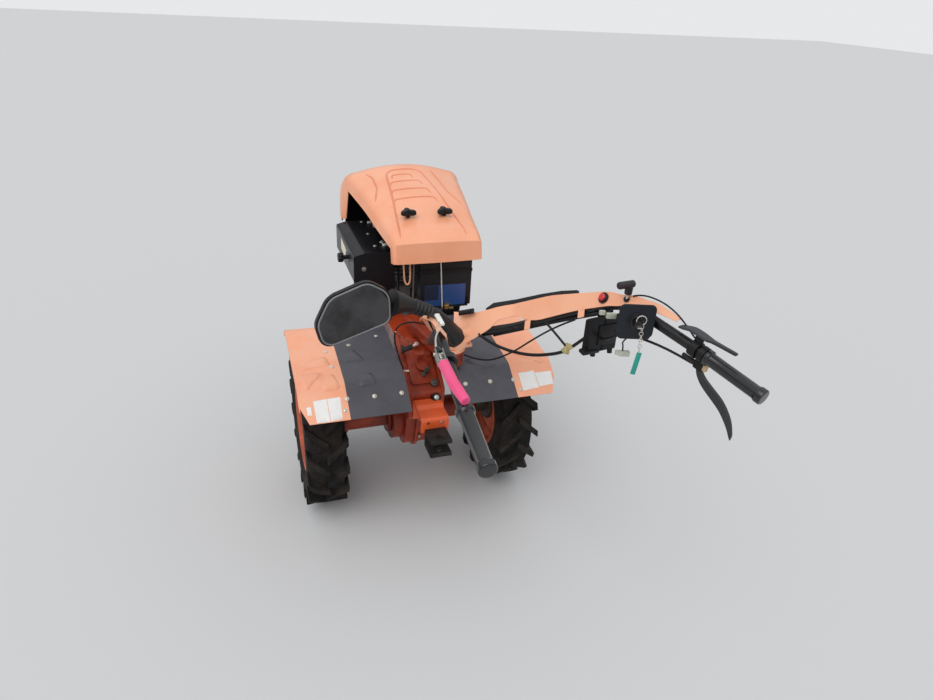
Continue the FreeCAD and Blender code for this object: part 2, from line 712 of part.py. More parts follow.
def build_engine():
    mid, half = size("engine_mid"), size("engine_half")
    back, front = size("engine_back"), size("engine_front")
    base, deck = size("engine_base"), size("engine_deck")
    case = Body("engine_block")
    side_view = outline([
        (back, base + 14, 12), (back + 10, base, 4), (front - 10, base, 4), (front, base + 14, 12),
        (front, deck - 60, 40), (front - 50, deck, 16), (back + 40, deck, 16), (back, deck - 50, 40)])
    case.pad(case.sketch("YZ_Plane", side_view, "Sizes.engine_mid - Sizes.engine_half"),
             "2 * Sizes.engine_half")
    cover = case.sketch("YZ_Plane", [circle(size("crank_y"), size("crank_z"), 84)],
                        "Sizes.engine_mid - Sizes.engine_half - 14")
    case.pad(cover, "2 * Sizes.engine_half + 14")
    case.done()

    barrel = size("barrel_half")
    pitch, thick = size("fin_pitch"), size("fin_thick")
    count = int(size("fin_count"))
    middle_y = size("crank_y")
    core = Part.makeCylinder(barrel - 22, pitch * count, Vector(mid - 10, middle_y, deck))
    fins = []
    for i in range(count):
        plate = prism(box_outline(mid - 10 - barrel, middle_y - barrel, mid - 10 + barrel,
                                  middle_y + barrel, 22), Vector(0, 0, thick))
        plate.translate(Vector(0, 0, deck + 6 + i * pitch))
        fins.append(plate)
    head_z = deck + pitch * count
    head = prism(box_outline(mid - 10 - barrel + 14, middle_y - barrel + 8, mid - 10 + barrel - 14,
                             middle_y + barrel - 8, 16), Vector(0, 0, size("head_high")))
    head.translate(Vector(0, 0, head_z - 1))
    feature("engine_cylinder", core.multiFuse([*fins, head]))

    right = mid + half
    deep = size("shroud_deep")
    shroud = primitive("Cylinder", "shroud_drum", (right + size("seat_gap"), size("crank_y"), size("crank_z") + 6),
                       ALONG_X, Radius="Sizes.shroud_rad", Height="Sizes.shroud_deep")
    duct = primitive("Box", "shroud_duct", (right + size("seat_gap"), size("crank_y") - 84, size("crank_z")),
                     None, Length="Sizes.shroud_deep - 8", Width="168", Height="252")
    starter = Body("starter_cover")
    face = right + deep
    rad = size("starter_rad")
    profile = outline([(face - 4, 0, 0), (face - 4, rad, 0),
                       (face + 14, rad, 8), (face + 30, rad - 26, 10), (face + 30, 0, 0)])
    starter.revolve(starter.sketch("XY_Plane", profile), "H_Axis")
    starter.body.Placement = Placement(Vector(0, size("crank_y"), size("crank_z") + 6), Rotation())
    keep("fan_shroud", joined("fan_shroud", [shroud, duct, starter.body]))

    clutch = Body("clutch_housing")
    left = mid - half - 14 - size("seat_gap")
    rad = size("clutch_rad")
    profile = outline([(left, 0, 0), (left, rad - 8, 0), (left - 14, rad, 8), (-52, rad, 12),
                       (-62, rad - 30, 10), (-62, 0, 0)])
    clutch.revolve(clutch.sketch("XY_Plane", profile), "H_Axis")
    clutch.done(Placement(Vector(0, size("crank_y"), size("crank_z")), Rotation()))

    build_tank(mid)
    build_muffler(mid, front)


def build_tank(mid):
    """Fuel tank under the hood with its filler cap."""
    base = size("engine_deck") + size("fin_pitch") * size("fin_count") + size("head_high") + 4
    tank = outline([(mid - 118, base, 10), (mid + 132, base, 10), (mid + 132, base + 66, 24),
                    (mid - 118, base + 66, 24)])
    shape = flat_to(prism(tank, Vector(0, 0, 210)), *REAR_VIEW)
    shape.translate(Vector(0, size("engine_front") + 40, 0))
    cap = Part.makeCylinder(24, 16, Vector(mid + 60, size("engine_front") - 20, base + 66))
    feet = []
    for x in (mid - 10 - 44, mid - 10 + 44):
        feet.append(Part.makeBox(16, 90, 5, Vector(x - 8, size("engine_front") - 165, base - 4.7)))
    feature("fuel_tank", shape.multiFuse([cap, *feet]))


def build_muffler(mid, front):
    """Silencer across the front of the engine with its tail pipe and inlet elbow."""
    low = size("engine_deck") + 50
    drum = Part.makeCylinder(46, 190, Vector(mid - 90, front + 26, low), Vector(1, 0, 0))
    drum = drum.makeFillet(10, [drum.Edges[0], drum.Edges[2]])
    inlet = tube([(Vector(mid - 10, size("crank_y") + size("barrel_half") + size("seat_gap"), low), 0),
                  (Vector(mid - 10, front - 10, low), 0)], 15)
    tail = tube([(Vector(mid + 92, front + 26, low), 0), (Vector(mid + 130, front + 26, low), 20),
                 (Vector(mid + 142, front + 64, low - 10), 0)], 11)
    feature("muffler", drum.multiFuse([inlet, tail]))


# Hood and what is under it


def hood_section(place, up, half, drop, crown, corner, thick):
    """Closed thin arch across the tractor: sides, rounded corners and a crowned top."""
    def arch(inset):
        wide = half - inset
        turn = corner - inset
        quarter = turn * (1 - math.sqrt(0.5))
        return [
            Part.LineSegment(point(-wide, -drop), point(-wide, -corner)),
            Part.Arc(point(-wide, -corner), point(-wide + quarter, -inset - quarter),
                     point(-wide + turn, -inset)),
            Part.Arc(point(-wide + turn, -inset), point(0, crown - inset), point(wide - turn, -inset)),
            Part.Arc(point(wide - turn, -inset), point(wide - quarter, -inset - quarter),
                     point(wide, -corner)),
            Part.LineSegment(point(wide, -corner), point(wide, -drop)),
        ]
    outer, inner = arch(0), arch(thick)
    edges = outer + [Part.LineSegment(point(half, -drop), point(half - thick, -drop))]
    for edge in reversed(inner):
        if isinstance(edge, Part.LineSegment):
            edges.append(Part.LineSegment(edge.EndPoint, edge.StartPoint))
        else:
            middle = edge.value((edge.FirstParameter + edge.LastParameter) / 2)
            edges.append(Part.Arc(edge.EndPoint, middle, edge.StartPoint))
    edges.append(Part.LineSegment(point(-half + thick, -drop), point(-half, -drop)))
    shape = wire(edges)
    shape = flat_to(shape, Vector(1, 0, 0), up)
    shape.translate(place)
    return shape


HOOD_STATIONS = (
    # y, z of the side edges' top line, lean of the section (0 upright, 90 facing
    # back, -90 facing forward), half width, side drop, crown, corner radius
    (94, 833, 82, 164, 30, 6, 20),
    (108, 900, 55, 164, 34, 8, 24),
    (150, 928, 18, 167, 40, 12, 34),
    (400, 976, 10, 186, 58, 22, 52),
    (640, 1004, 4, 206, 66, 28, 58),
    (716, 972, -62, 208, 52, 20, 42),
    (734, 820, -88, 204, 38, 10, 28),
)


KNOB_X = (48, 184)


def build_hood():
    mid = size("engine_mid")
    sections = []
    for y, z, lean, half, drop, crown, corner in HOOD_STATIONS:
        angle = math.radians(lean)
        up = Vector(0, -math.sin(angle), math.cos(angle))
        sections.append(hood_section(Vector(mid, y, z), up, half, drop, crown, corner,
                                     size("hood_sheet")))
    shell = Part.makeLoft(sections, True, True)
    for x in KNOB_X:
        shell = shell.cut(Part.makeCylinder(4.5, 80, Vector(x, size("knob_y"), size("hoop_top") - 20)))
    feature("hood", shell)
    build_hood_bracket(mid)


def build_hood_bracket(mid):
    """Hoop behind the engine and posts ahead of it that carry the hood, with its knobs."""
    floor = size("frame_z") + size("frame_sheet")
    y = size("engine_back") - 22
    top = size("hoop_top")
    half = size("hoop_half")
    foot = floor + 4 + size("seat_gap")
    hoop = bent_sheet([(mid - half - 20, foot, 0), (mid - half, foot, 5), (mid - half, top, 20),
                       (mid + half, top, 20), (mid + half, foot, 5), (mid + half + 16, foot, 0)], -4)
    shelf = size("knob_y") - 14
    shape = flat_to(prism(hoop, Vector(0, 0, y + 11 - shelf)), *REAR_VIEW)
    shape.translate(Vector(0, y + 11, 0))
    shape = shape.cut(Part.makeBox(600, y - 11 - shelf, top - 24, Vector(mid - 300, shelf, 0)))
    front = size("frame_front")
    strap = bent_sheet([(front - 40, floor, 0), (front - 6, floor, 6), (front + 10, 700, 60),
                        (front + 29.5, 842, 0)], 4)
    posts = []
    for x in (mid - 70, mid + 40):
        plate = flat_to(prism(strap, Vector(0, 0, 30)), *SIDE_VIEW)
        plate.translate(Vector(x, 0, 0))
        posts.append(plate)
    cross = Part.makeBox(140, 4, 20, Vector(mid - 70, front + 9, 690))
    feature("hood_supports", Part.makeCompound([shape, cross.multiFuse(posts)]))
    knobs = []
    for x in KNOB_X:
        spot = Vector(x, size("knob_y"), top + size("seat_gap"))
        stem = Part.makeCylinder(4, 30, spot)
        head = Part.makeCylinder(13, 12, spot + Vector(0, 0, 18))
        lobes = [head]
        for i in range(3):
            angle = math.radians(90 + 120 * i)
            lobes.append(Part.makeCylinder(8, 10,
                                            spot + Vector(17 * math.cos(angle), 17 * math.sin(angle), 19)))
        knobs.append(stem.multiFuse(lobes))
    knobs.append(housing_knob())
    feature("clamp_knobs", Part.makeCompound(knobs))


def housing_knob():
    """Knob that clamps the side housing's lid."""
    left = size("house_left")
    profile = outline([(left - 0.3, 0, 0), (left - 0.3, 8, 0), (left - 16, 8, 0), (left - 16, 19, 3),
                       (left - 34, 19, 4), (left - 34, 0, 0)])
    knob = Part.Face(wire(profile)).revolve(Vector(), Vector(1, 0, 0), 360)
    knob.translate(Vector(0, size("house_back") + 150, size("house_top") - 66))
    return knob


def build_battery():
    left, back = size("battery_left"), size("battery_back")
    base, wide = size("battery_base"), size("battery_wide")
    deep, high = size("battery_deep"), size("battery_high")
    cell = Body("battery")
    cell.pad(cell.sketch("XY_Plane", box_outline(left, back, left + wide, back + deep, 5),
                         "Sizes.battery_base"), "Sizes.battery_high - 12")
    cell.pad(cell.sketch("XY_Plane", box_outline(left + 4, back + 4, left + wide - 4, back + deep - 4, 3),
                         "Sizes.battery_base + Sizes.battery_high - 12"), "12")
    posts = [circle(left + x, back + 24, 8) for x in (26, wide - 26)]
    cell.pad(cell.sketch("XY_Plane", posts, "Sizes.battery_base + Sizes.battery_high"), "12")
    cell.done()

    thick = size("tray_sheet")
    gap = size("seat_gap")
    tray = bent_sheet([(left - gap, base + 30, 0), (left - gap, base - gap, 0),
                       (left + wide + gap, base - gap, 0), (left + wide + gap, base + 30, 0)], -thick)
    shape = flat_to(prism(tray, Vector(0, 0, deep + 8)), *REAR_VIEW)
    shape.translate(Vector(0, back + deep + 4, 0))
    leg_low = size("frame_z") + size("frame_sheet") + gap
    legs = []
    for x in (left + 14, left + wide - 54):
        legs.append(Part.makeBox(30, thick + 2, base - leg_low - 2,
                                 Vector(x, back + deep - 24, leg_low)))
    legs.append(Part.makeBox(wide - 38, 24, thick, Vector(left + 14, back + deep - 42, leg_low)))
    feature("battery_tray", shape.multiFuse(legs))

    strap_low = base + high + gap
    bar = Part.makeBox(wide + 30, 22, 4, Vector(left - 15, back + deep / 2 - 21, strap_low + 0.2))
    rods = []
    for x in (left - 10, left + wide + 10):
        rods.append(Part.makeCylinder(4, high + 34, Vector(x, back + deep / 2 - 10, base - 24)))
    feature("battery_clamp", bar.multiFuse(rods))


def build_side_housing():
    """Sheet housing along the engine's left side with its clamping knob."""
    left, right = size("house_left"), size("house_right")
    low, top = size("house_low"), size("house_top")
    back = size("house_back")
    gap = size("seat_gap")
    housing = Body("side_housing")
    rear_view = outline([
        (left + 26, low, 6), (right, low, 0), (right, top, 4), (left + 34, top, 10),
        (left, top - 34, 12), (left, low + 62, 10)])
    housing.pad(housing.sketch("XZ_Plane", rear_view, "-Sizes.house_front"),
                "Sizes.house_front - Sizes.house_back")
    deck = size("engine_deck")
    bracket = bent_sheet([(right - 60, low + 2, 0), (right + 24, low + 2, 6), (right + 24, deck + gap + 5, 6),
                          (right + 60, deck + gap + 5, 0)], -5)
    housing.pad(housing.sketch("XZ_Plane", bracket, "-Sizes.crank_y - 80"), "60")
    housing.done()


# Handlebar


def handle_place():
    """Handlebar pieces are drawn straight, with the swivel axis at their origin."""
    return Placement(Vector(size("swivel_x"), size("swivel_y"), 0),
                     Rotation(Vector(0, 0, 1), size("swing_deg")))


ARM_RUN = (
    # across, along, height, bend radius
    (36, -10, 714, 0),
    (136, -141, 784, 120),
    (272, -478, 993, 150),
    (320, -695, 956, 200),
    (354, -888, 920, 0),
)


def arm_points(side):
    return [(Vector(side * x, y, z), r) for x, y, z, r in ARM_RUN]


def grip_axis(side):
    start, end = arm_points(side)[-2][0], arm_points(side)[-1][0]
    return start, (end - start).normalize(), (end - start).Length


def build_column():
    """Casting from the gearbox top up to the swivel."""
    x, y, z = size("swivel_x"), size("swivel_y"), size("swivel_z")
    top = z - size("swivel_gap")
    case_top = size("case_top")
    foot = prism(box_outline(-8, -48, size("case_half") - 14, 60, 12), Vector(0, 0, 18))
    foot.translate(Vector(0, 0, case_top + size("seat_gap") + 14))
    lower = wire(box_outline(-34, -20, 34, 20, 8))
    lower = flat_to(lower, *REAR_VIEW)
    lower.translate(Vector(size("case_half") - 38, -20, case_top + 36))
    upper = wire(box_outline(-30, -20, 30, 20, 8))
    upper = flat_to(upper, *REAR_VIEW)
    upper.translate(Vector(x - 6, y + 14, top - 30))
    neck = Part.makeLoft([lower, upper], True, True)
    drum = Part.makeCylinder(40, 44, Vector(x, y, top - 50))
    plate = Part.makeCylinder(size("swivel_rad"), 8, Vector(x, y, top - 8))
    pad = prism(box_outline(-8, -60, size("case_half") - 14, 60, 12), Vector(0, 0, 32))
    pad.translate(Vector(0, 0, case_top + size("seat_gap")))
    feature("column_base", pad.multiFuse([neck, drum, plate]))


def build_swivel():
    z = size("swivel_z")
    plate = Part.makeCylinder(size("swivel_rad"), 12, Vector(0, 0, z))
    boss = Part.makeCylinder(20, 44, Vector(0, 0, z))
    cheeks = prism(box_outline(-52, -34, 52, 34, 14), Vector(0, 0, 12))
    cheeks.translate(Vector(0, 0, z + 12))
    feature("swivel_head", plate.multiFuse([boss, cheeks]), handle_place())

    rad = size("arm_rad")
    for name, side in SIDES:
        arm = tube(arm_points(side), rad)
        root = Part.makeBox(40, 40, 34, Vector(-20, -20, 0))
        root.translate(Vector(side * 49, -6, z + 24 + size("seat_gap")))
        feature(f"arm_{name}", arm.fuse(root), handle_place())


def run_stations(run, first, last):
    """Distances along a wire: its ends of runs and three places on each arc."""
    stations = [first]
    start = 0.0
    for edge in run.OrderedEdges:
        shares = (0.25, 0.5, 0.75, 1.0) if isinstance(edge.Curve, Part.Circle) else (1.0,)
        stations += [start + share * edge.Length for share in shares]
        start += edge.Length
    inside = [place for place in stations if first + 15 < place < last - 15]
    return [first, *inside, last]


def cover_shape(side, first, last, wide_start, wide_end):
    """Folded sheet cover that sits over a stretch of the handlebar tube."""
    run = wire(rounded_run(arm_points(side), False))
    length = run.Length
    first, last = first * length, last * length
    sections = []
    rad = size("arm_rad")
    thick = size("cover_sheet")
    top = rad + thick + size("cover_gap")
    for distance in run_stations(run, first, last):
        spot = point_along(run, distance)
        ahead = point_along(run, min(distance + 2, length))
        behind = point_along(run, max(distance - 2, 0))
        heading = (ahead - behind).normalize()
        across = heading.cross(Vector(0, 0, 1)).normalize()
        up = across.cross(heading).normalize()
        share = (distance - first) / (last - first)
        half = (wide_start + (wide_end - wide_start) * share) / 2
        corners = [(-half, -rad), (-half, top), (half, top), (half, -rad),
                   (half - thick, -rad), (half - thick, top - thick),
                   (-half + thick, top - thick), (-half + thick, -rad)]
        ring = [spot + across * a + up * b for a, b in corners]
        sections.append(Part.makePolygon([*ring, ring[0]]))
    return Part.makeLoft(sections, True, True)


def point_along(run, distance):
    """Point at a distance along a wire."""
    left = distance
    for edge in run.OrderedEdges:
        if left <= edge.Length + 1e-6:
            first, last = edge.ParameterRange
            spot = edge.getParameterByLength(min(left, edge.Length))
            if edge.Orientation == "Reversed":
                spot = first + last - spot
            return edge.valueAt(spot)
        left -= edge.Length
    return run.OrderedVertexes[-1].Point


def build_handlebar():
    place = handle_place()
    feature("arm_cover_right", cover_shape(1, 0.06, 0.78, 66, 34), place)
    feature("arm_cover_left", cover_shape(-1, 0.06, 0.40, 66, 40), place)

    grips = []
    for name, side in SIDES:
        start, heading, length = grip_axis(side)
        long = size("grip_long")
        rad = size("grip_rad")
        base = start + heading * (length - long + 12)
        profile = outline([(0, size("arm_rad"), 0), (0, rad + 4, 2), (10, rad + 4, 2), (14, rad, 0),
                           (long - 22, rad, 0), (long - 16, rad + 3, 2), (long, rad + 3, 4),
                           (long, 0, 0), (long - 12 + size("seat_gap"), 0, 0),
                           (long - 12 + size("seat_gap"), size("arm_rad"), 0)])
        ring = Part.Face(wire(profile)).revolve(Vector(), Vector(1, 0, 0), 360)
        turn = Rotation(Vector(1, 0, 0), heading)
        ring.Placement = Placement(base, turn)
        grips.append(ring)
    feature("grips", Part.makeCompound(grips), place)

    build_levers(place)
    build_dash(place)
    build_mirror(place)
    build_cables(place)


def blade(corners, thick, wide, right, up, at):
    """Flat bent lever blade: a bent strip of a width, drawn along right and up."""
    shape = prism(bent_sheet(corners, thick), Vector(0, 0, wide))
    shape = flat_to(shape, right, up)
    shape.translate(at)
    return shape


def build_levers(place):
    """Hand levers on both grips with their clamps."""
    clamps = []
    for side, node in ((-1, "clutch_lever"), (1, "drive_lever")):
        start, heading, length = grip_axis(side)
        up = Vector(0, 0, 1)
        across = heading.cross(up).normalize()
        upright = across.cross(heading).normalize()
        root = start + heading * 8
        ring = Part.makeCylinder(size("arm_rad") + 8, 22, root - heading * 11, heading)
        hole = Part.makeCylinder(size("arm_rad") + size("seat_gap"), 30, root - heading * 15, heading)
        stem = Part.makeBox(12, 22, 22, Vector(-6, -11, size("arm_rad") + 3))
        turn = FreeCAD.Matrix(across.x, heading.x, upright.x, root.x, across.y, heading.y, upright.y,
                              root.y, across.z, heading.z, upright.z, root.z, 0, 0, 0, 1)
        clamps.append(ring.fuse(stem.transformed(turn)).cut(hole))
        high = size("arm_rad") + 26
        strip = blade([(-70, 4, 0), (-10, high - size("arm_rad") - 18, 30), (60, high - size("arm_rad") - 14, 40),
                       (112, -6, 0)], 5, 18, heading, upright, root + upright * (size("arm_rad") + 17.5)
                      - across * 9)
        feature(node, strip, place)
    feature("lever_clamps", Part.makeCompound(clamps), place)
    start, heading, length = grip_axis(1)
    across = heading.cross(Vector(0, 0, 1)).normalize()
    upright = across.cross(heading).normalize()
    root = start + heading * 30
    ring = Part.makeCylinder(size("arm_rad") + 7, 16, root - heading * 8, heading)
    hole = Part.makeCylinder(size("arm_rad") + size("seat_gap"), 26, root - heading * 13, heading)
    strip = blade([(2, -size("arm_rad") - 2, 0), (10, -48, 20), (40, -84, 40), (116, -112, 0)], -5, 16,
                  heading, upright, root - across * 8)
    feature("steering_lever", ring.fuse(strip).cut(hole), place)


def arm_at(y):
    """Point of the right arm's straight run up to the elbow, by its place along."""
    low, high = arm_points(1)[1][0], arm_points(1)[2][0]
    return low + (high - low) * ((y - low.y) / (high.y - low.y))


def build_dash(place):
    """Switch box, ignition panel, stop button and throttle on the right arm."""
    rad = size("arm_rad")
    gap = size("seat_gap")
    elbow, bend = arm_points(1)[2][0], arm_points(1)[3][0]
    hung = elbow + (bend - elbow) * 0.25
    top = hung.z - rad - gap - 4.4
    wide, high = size("panel_wide"), size("panel_high")
    plate = prism(box_outline(-wide / 2, -high, wide / 2, 0, 12), Vector(0, 0, 3))
    lock = Part.makeCylinder(17, 12, Vector(0, -high / 2, 0))
    barrel = Part.makeCylinder(11, 22, Vector(0, -high / 2, 0))
    key = prism(box_outline(-2, -high / 2 - 9, 2, -high / 2 + 9, 1), Vector(0, 0, 34))
    body = Part.makeCylinder(15, 30, Vector(0, -high / 2, -29))
    shape = flat_to(plate.multiFuse([lock, barrel, key, body]), *REAR_VIEW)
    shape.translate(Vector(hung.x, hung.y - rad, top))
    feature("switch_panel", shape, place)

    back, front = -436, -382
    slope = (arm_at(back).z - arm_at(front).z) / (back - front)
    drop = (rad + gap) * math.sqrt(1 + slope * slope)
    base = 836
    middle = arm_at((back + front) / 2).x
    pieces = []
    for wide, lower in ((78, 9), (16, 0)):
        side_view = outline([
            (back, base, 6), (front, base, 6), (front, arm_at(front).z - drop - lower, 4),
            (back, arm_at(back).z - drop - lower, 4)])
        piece = flat_to(prism(side_view, Vector(0, 0, wide)), *SIDE_VIEW)
        piece.translate(Vector(middle - wide / 2, 0, 0))
        pieces.append(piece)
    box = pieces[0].fuse(pieces[1])
    feature("switch_box", box, place)

    heading = (elbow - arm_points(1)[1][0]).normalize()
    up = heading.cross(Vector(0, 0, 1)).cross(heading).normalize()
    rise = rad + size("cover_sheet") + size("cover_gap") + gap
    spot = arm_at(-412) + up * rise
    button = Part.makeCylinder(13, 9, spot, up).fuse(Part.makeCylinder(9, 14, spot, up))
    feature("stop_button", button, place)
    spot = arm_at(-455) + up * (rise - 0.4)
    stem = Part.makeCylinder(5, 50, spot)
    head = Part.makeCylinder(10, 48, spot + Vector(-26, 0, 56), Vector(1, 0, 0))
    neck = Part.makeCylinder(9, 30, spot + Vector(0, 0, 28))
    feature("throttle_lever", stem.multiFuse([head, neck]), place)


def build_mirror(place):
    """Mirror on a rubber arm beside the swivel."""
    wide = size("mirror_wide") / 2
    high = size("mirror_high") / 2
    rad = size("mirror_arm_rad")
    middle = Vector(-330, -36, 857)
    end = Vector(-150, -21, 862)
    tip = Vector(-330 + wide - 1, -28, 872)
    foot = Vector(0, -4, size("swivel_z") + 44 + size("seat_gap"))
    run = [(foot, 0), (Vector(0, -4, 754), 40), (Vector(-92, -13, 826), 140), (end, 0)]
    cone = Part.makeCone(rad - 1, 42, (tip - end).Length, end, tip - end)
    collar = Part.makeCone(rad + 4, rad, 22, foot, Vector(0, 0, 1))
    arm = tube(run, rad).multiFuse([cone, collar])

    corners = [
        # across and height as shares of the half sizes, corner radius
        (-0.90, -1.0, 36), (1.0, -0.42, 30), (0.96, 0.56, 60), (0.34, 1.0, 50), (-0.72, 0.62, 60),
        (-1.08, -0.18, 50),
    ]
    rim = outline([(wide * a, high * b, r) for a, b, r in corners])
    shell = flat_to(prism(rim, Vector(0, 0, -14)), *REAR_VIEW)
    back = outline([(wide * a * 0.8, high * b * 0.8, r * 0.8) for a, b, r in corners])
    first = wire(rim)
    second = wire(back)
    second.translate(Vector(0, 0, -size("mirror_deep")))
    first.translate(Vector(0, 0, -13))
    bulge = flat_to(Part.makeLoft([first, second], True, True), *REAR_VIEW)
    shell = shell.fuse(bulge)
    shell.translate(middle)
    feature("mirror_shell", shell, place)
    grown = shell.copy()
    arm = arm.cut(grown)
    if len(arm.Solids) > 1:
        arm = max(arm.Solids, key=lambda solid: solid.Volume)
    arm.translate(Vector(size("seat_gap"), 0, 0))
    feature("mirror_arm", arm, place)
    glass = outline([(wide * a * 0.93, high * b * 0.93, r * 0.93) for a, b, r in corners])
    glass = flat_to(prism(glass, Vector(0, 0, 3)), *REAR_VIEW)
    glass.translate(middle + Vector(0, -size("seat_gap"), 0))
    feature("mirror_glass", glass, place)


def build_cables(place):
    """Control cables tied along the right arm."""
    run = [Vector(112, -108, 742), Vector(138, -190, 738), Vector(186, -300, 786), Vector(225, -378.6, 862)]
    feature("control_cables", tube(cord_corners(run), 4), place)


build_wheels()
build_gearbox()
build_hitch()
build_fenders()
build_frame()
build_stand()
build_engine()
build_hood()
build_battery()
build_side_housing()
build_column()
build_swivel()
build_handlebar()
doc.recompute()

os.makedirs("parts", exist_ok=True)
for item in doc.Objects:
    if "Invalid" in item.State or "Error" in item.State:
        raise SystemExit(f"{item.Name} failed: {item.State}")
for node, item in NODES:
    shape = item.Shape
    if shape.isNull() or not shape.isValid() or shape.Volume <= 0:
        raise SystemExit(f"{node} has no valid shape")
    shape.exportStep(f"parts/{node}.step")
    box = shape.BoundBox
    print(f"{node:20s} solids {len(shape.Solids)} volume {shape.Volume / 1e6:8.3f} l "
          f"x {box.XMin:7.1f} {box.XMax:7.1f} y {box.YMin:7.1f} {box.YMax:7.1f} "
          f"z {box.ZMin:7.1f} {box.ZMax:7.1f}")
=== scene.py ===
"""Looks of a two-wheeled walking tractor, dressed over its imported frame."""
import json
import logging
import math
from dataclasses import dataclass
from enum import Enum
from typing import Callable

import bmesh
import bpy
from mathutils import Matrix, Vector
from mathutils.bvhtree import BVHTree

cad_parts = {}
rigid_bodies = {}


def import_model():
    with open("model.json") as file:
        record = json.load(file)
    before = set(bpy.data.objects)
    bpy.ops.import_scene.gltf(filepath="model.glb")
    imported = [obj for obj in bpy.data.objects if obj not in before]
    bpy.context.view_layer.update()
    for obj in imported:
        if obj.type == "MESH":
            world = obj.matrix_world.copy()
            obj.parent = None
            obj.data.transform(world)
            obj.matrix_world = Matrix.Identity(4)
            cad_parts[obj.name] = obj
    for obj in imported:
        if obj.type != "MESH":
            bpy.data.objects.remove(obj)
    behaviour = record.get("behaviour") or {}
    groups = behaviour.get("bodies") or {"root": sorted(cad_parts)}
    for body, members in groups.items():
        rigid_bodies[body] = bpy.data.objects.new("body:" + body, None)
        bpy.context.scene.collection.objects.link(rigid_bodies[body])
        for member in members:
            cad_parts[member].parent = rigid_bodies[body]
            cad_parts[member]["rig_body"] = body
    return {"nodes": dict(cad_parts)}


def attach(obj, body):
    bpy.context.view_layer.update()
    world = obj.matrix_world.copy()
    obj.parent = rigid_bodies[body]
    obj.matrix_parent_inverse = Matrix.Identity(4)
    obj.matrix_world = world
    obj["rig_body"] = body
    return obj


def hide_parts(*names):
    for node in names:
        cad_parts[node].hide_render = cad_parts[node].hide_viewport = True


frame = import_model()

LOG = logging.getLogger("walking_tractor")
MM = 0.001
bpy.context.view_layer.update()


# Small helpers


def mm(x: float, y: float, z: float) -> Vector:
    """Point in metres from millimetres in the tractor's frame."""
    return Vector((x, y, z)) * MM


def bar(x: float, y: float, z: float) -> Vector:
    """Point in metres from millimetres on the unswung handlebar, across, along and up from its swivel."""
    turned = Matrix.Rotation(math.radians(7.7), 3, "Z") @ Vector((x, y, 0))
    return Vector((turned.x + 75, turned.y - 245, z)) * MM


def basis(normal: Vector, along: Vector | None = None) -> Matrix:
    """Rotation whose Z runs along normal and whose X runs as near as it can to along."""
    z = normal.normalized()
    guide = along if along is not None else Vector((1, 0, 0))
    if abs(z.dot(guide.normalized())) > 0.98:
        guide = Vector((0, 1, 0))
    x = (guide - z * guide.dot(z)).normalized()
    y = z.cross(x)
    return Matrix((x, y, z)).transposed()


def placed(at: Vector, normal: Vector, along: Vector | None = None) -> Matrix:
    """4x4 place at a point, with Z along normal."""
    return Matrix.Translation(at) @ basis(normal, along).to_4x4()


def finish_mesh(bm: bmesh.types.BMesh, name: str, angle: float = 35.0) -> bpy.types.Object:
    """Turn a bmesh into a linked object with smooth faces and sharp edges.

    Args:
        bm: The mesh, freed here.
        name: The piece's name.
        angle: Edges steeper than this stay sharp, in degrees.

    Returns:
        The new object, at the origin.
    """
    mesh = bpy.data.meshes.new(name)
    bmesh.ops.recalc_face_normals(bm, faces=bm.faces[:])
    bm.to_mesh(mesh)
    bm.free()
    mesh.shade_smooth()
    mesh.set_sharp_from_angle(angle=math.radians(angle))
    piece = bpy.data.objects.new(name, mesh)
    bpy.context.scene.collection.objects.link(piece)
    return piece


def soften(piece: bpy.types.Object, width: float, segments: int = 2, angle: float = 32.0) -> None:
    """Round a piece's sharp edges by a width in millimetres."""
    bevel = piece.modifiers.new("edges", "BEVEL")
    bevel.width = width * MM
    bevel.segments = segments
    bevel.limit_method = "ANGLE"
    bevel.angle_limit = math.radians(angle)
    bevel.harden_normals = True


# Finishes


class Grain(Enum):
    """Fine relief of a surface."""

    PEEL = "sprayed paint"
    CAST = "rough casting"
    MOULD = "moulded plastic"
    RUBBER = "worn rubber"
    BRUSH = "drawn metal"


@dataclass(frozen=True)
class Finish:
    """One finish: two colours that vary over the surface, gloss, grain, dust, mud, wear and shine."""

    name: str
    colour: tuple[float, float, float]
    shade: tuple[float, float, float]
    rough: float = 0.4
    rough_worn: float = 0.6
    metallic: float = 0.0
    coat: float = 0.0
    grain: Grain = Grain.PEEL
    relief: float = 0.1
    dust: float = 0.2
    dust_colour: tuple[float, float, float] = (0.42, 0.38, 0.33)
    mud: float = 0.0
    wear: float = 0.1
    wear_colour: tuple[float, float, float] = (0.3, 0.29, 0.28)
    slot: str = "sheet_orange"
    shine: float = 0.5


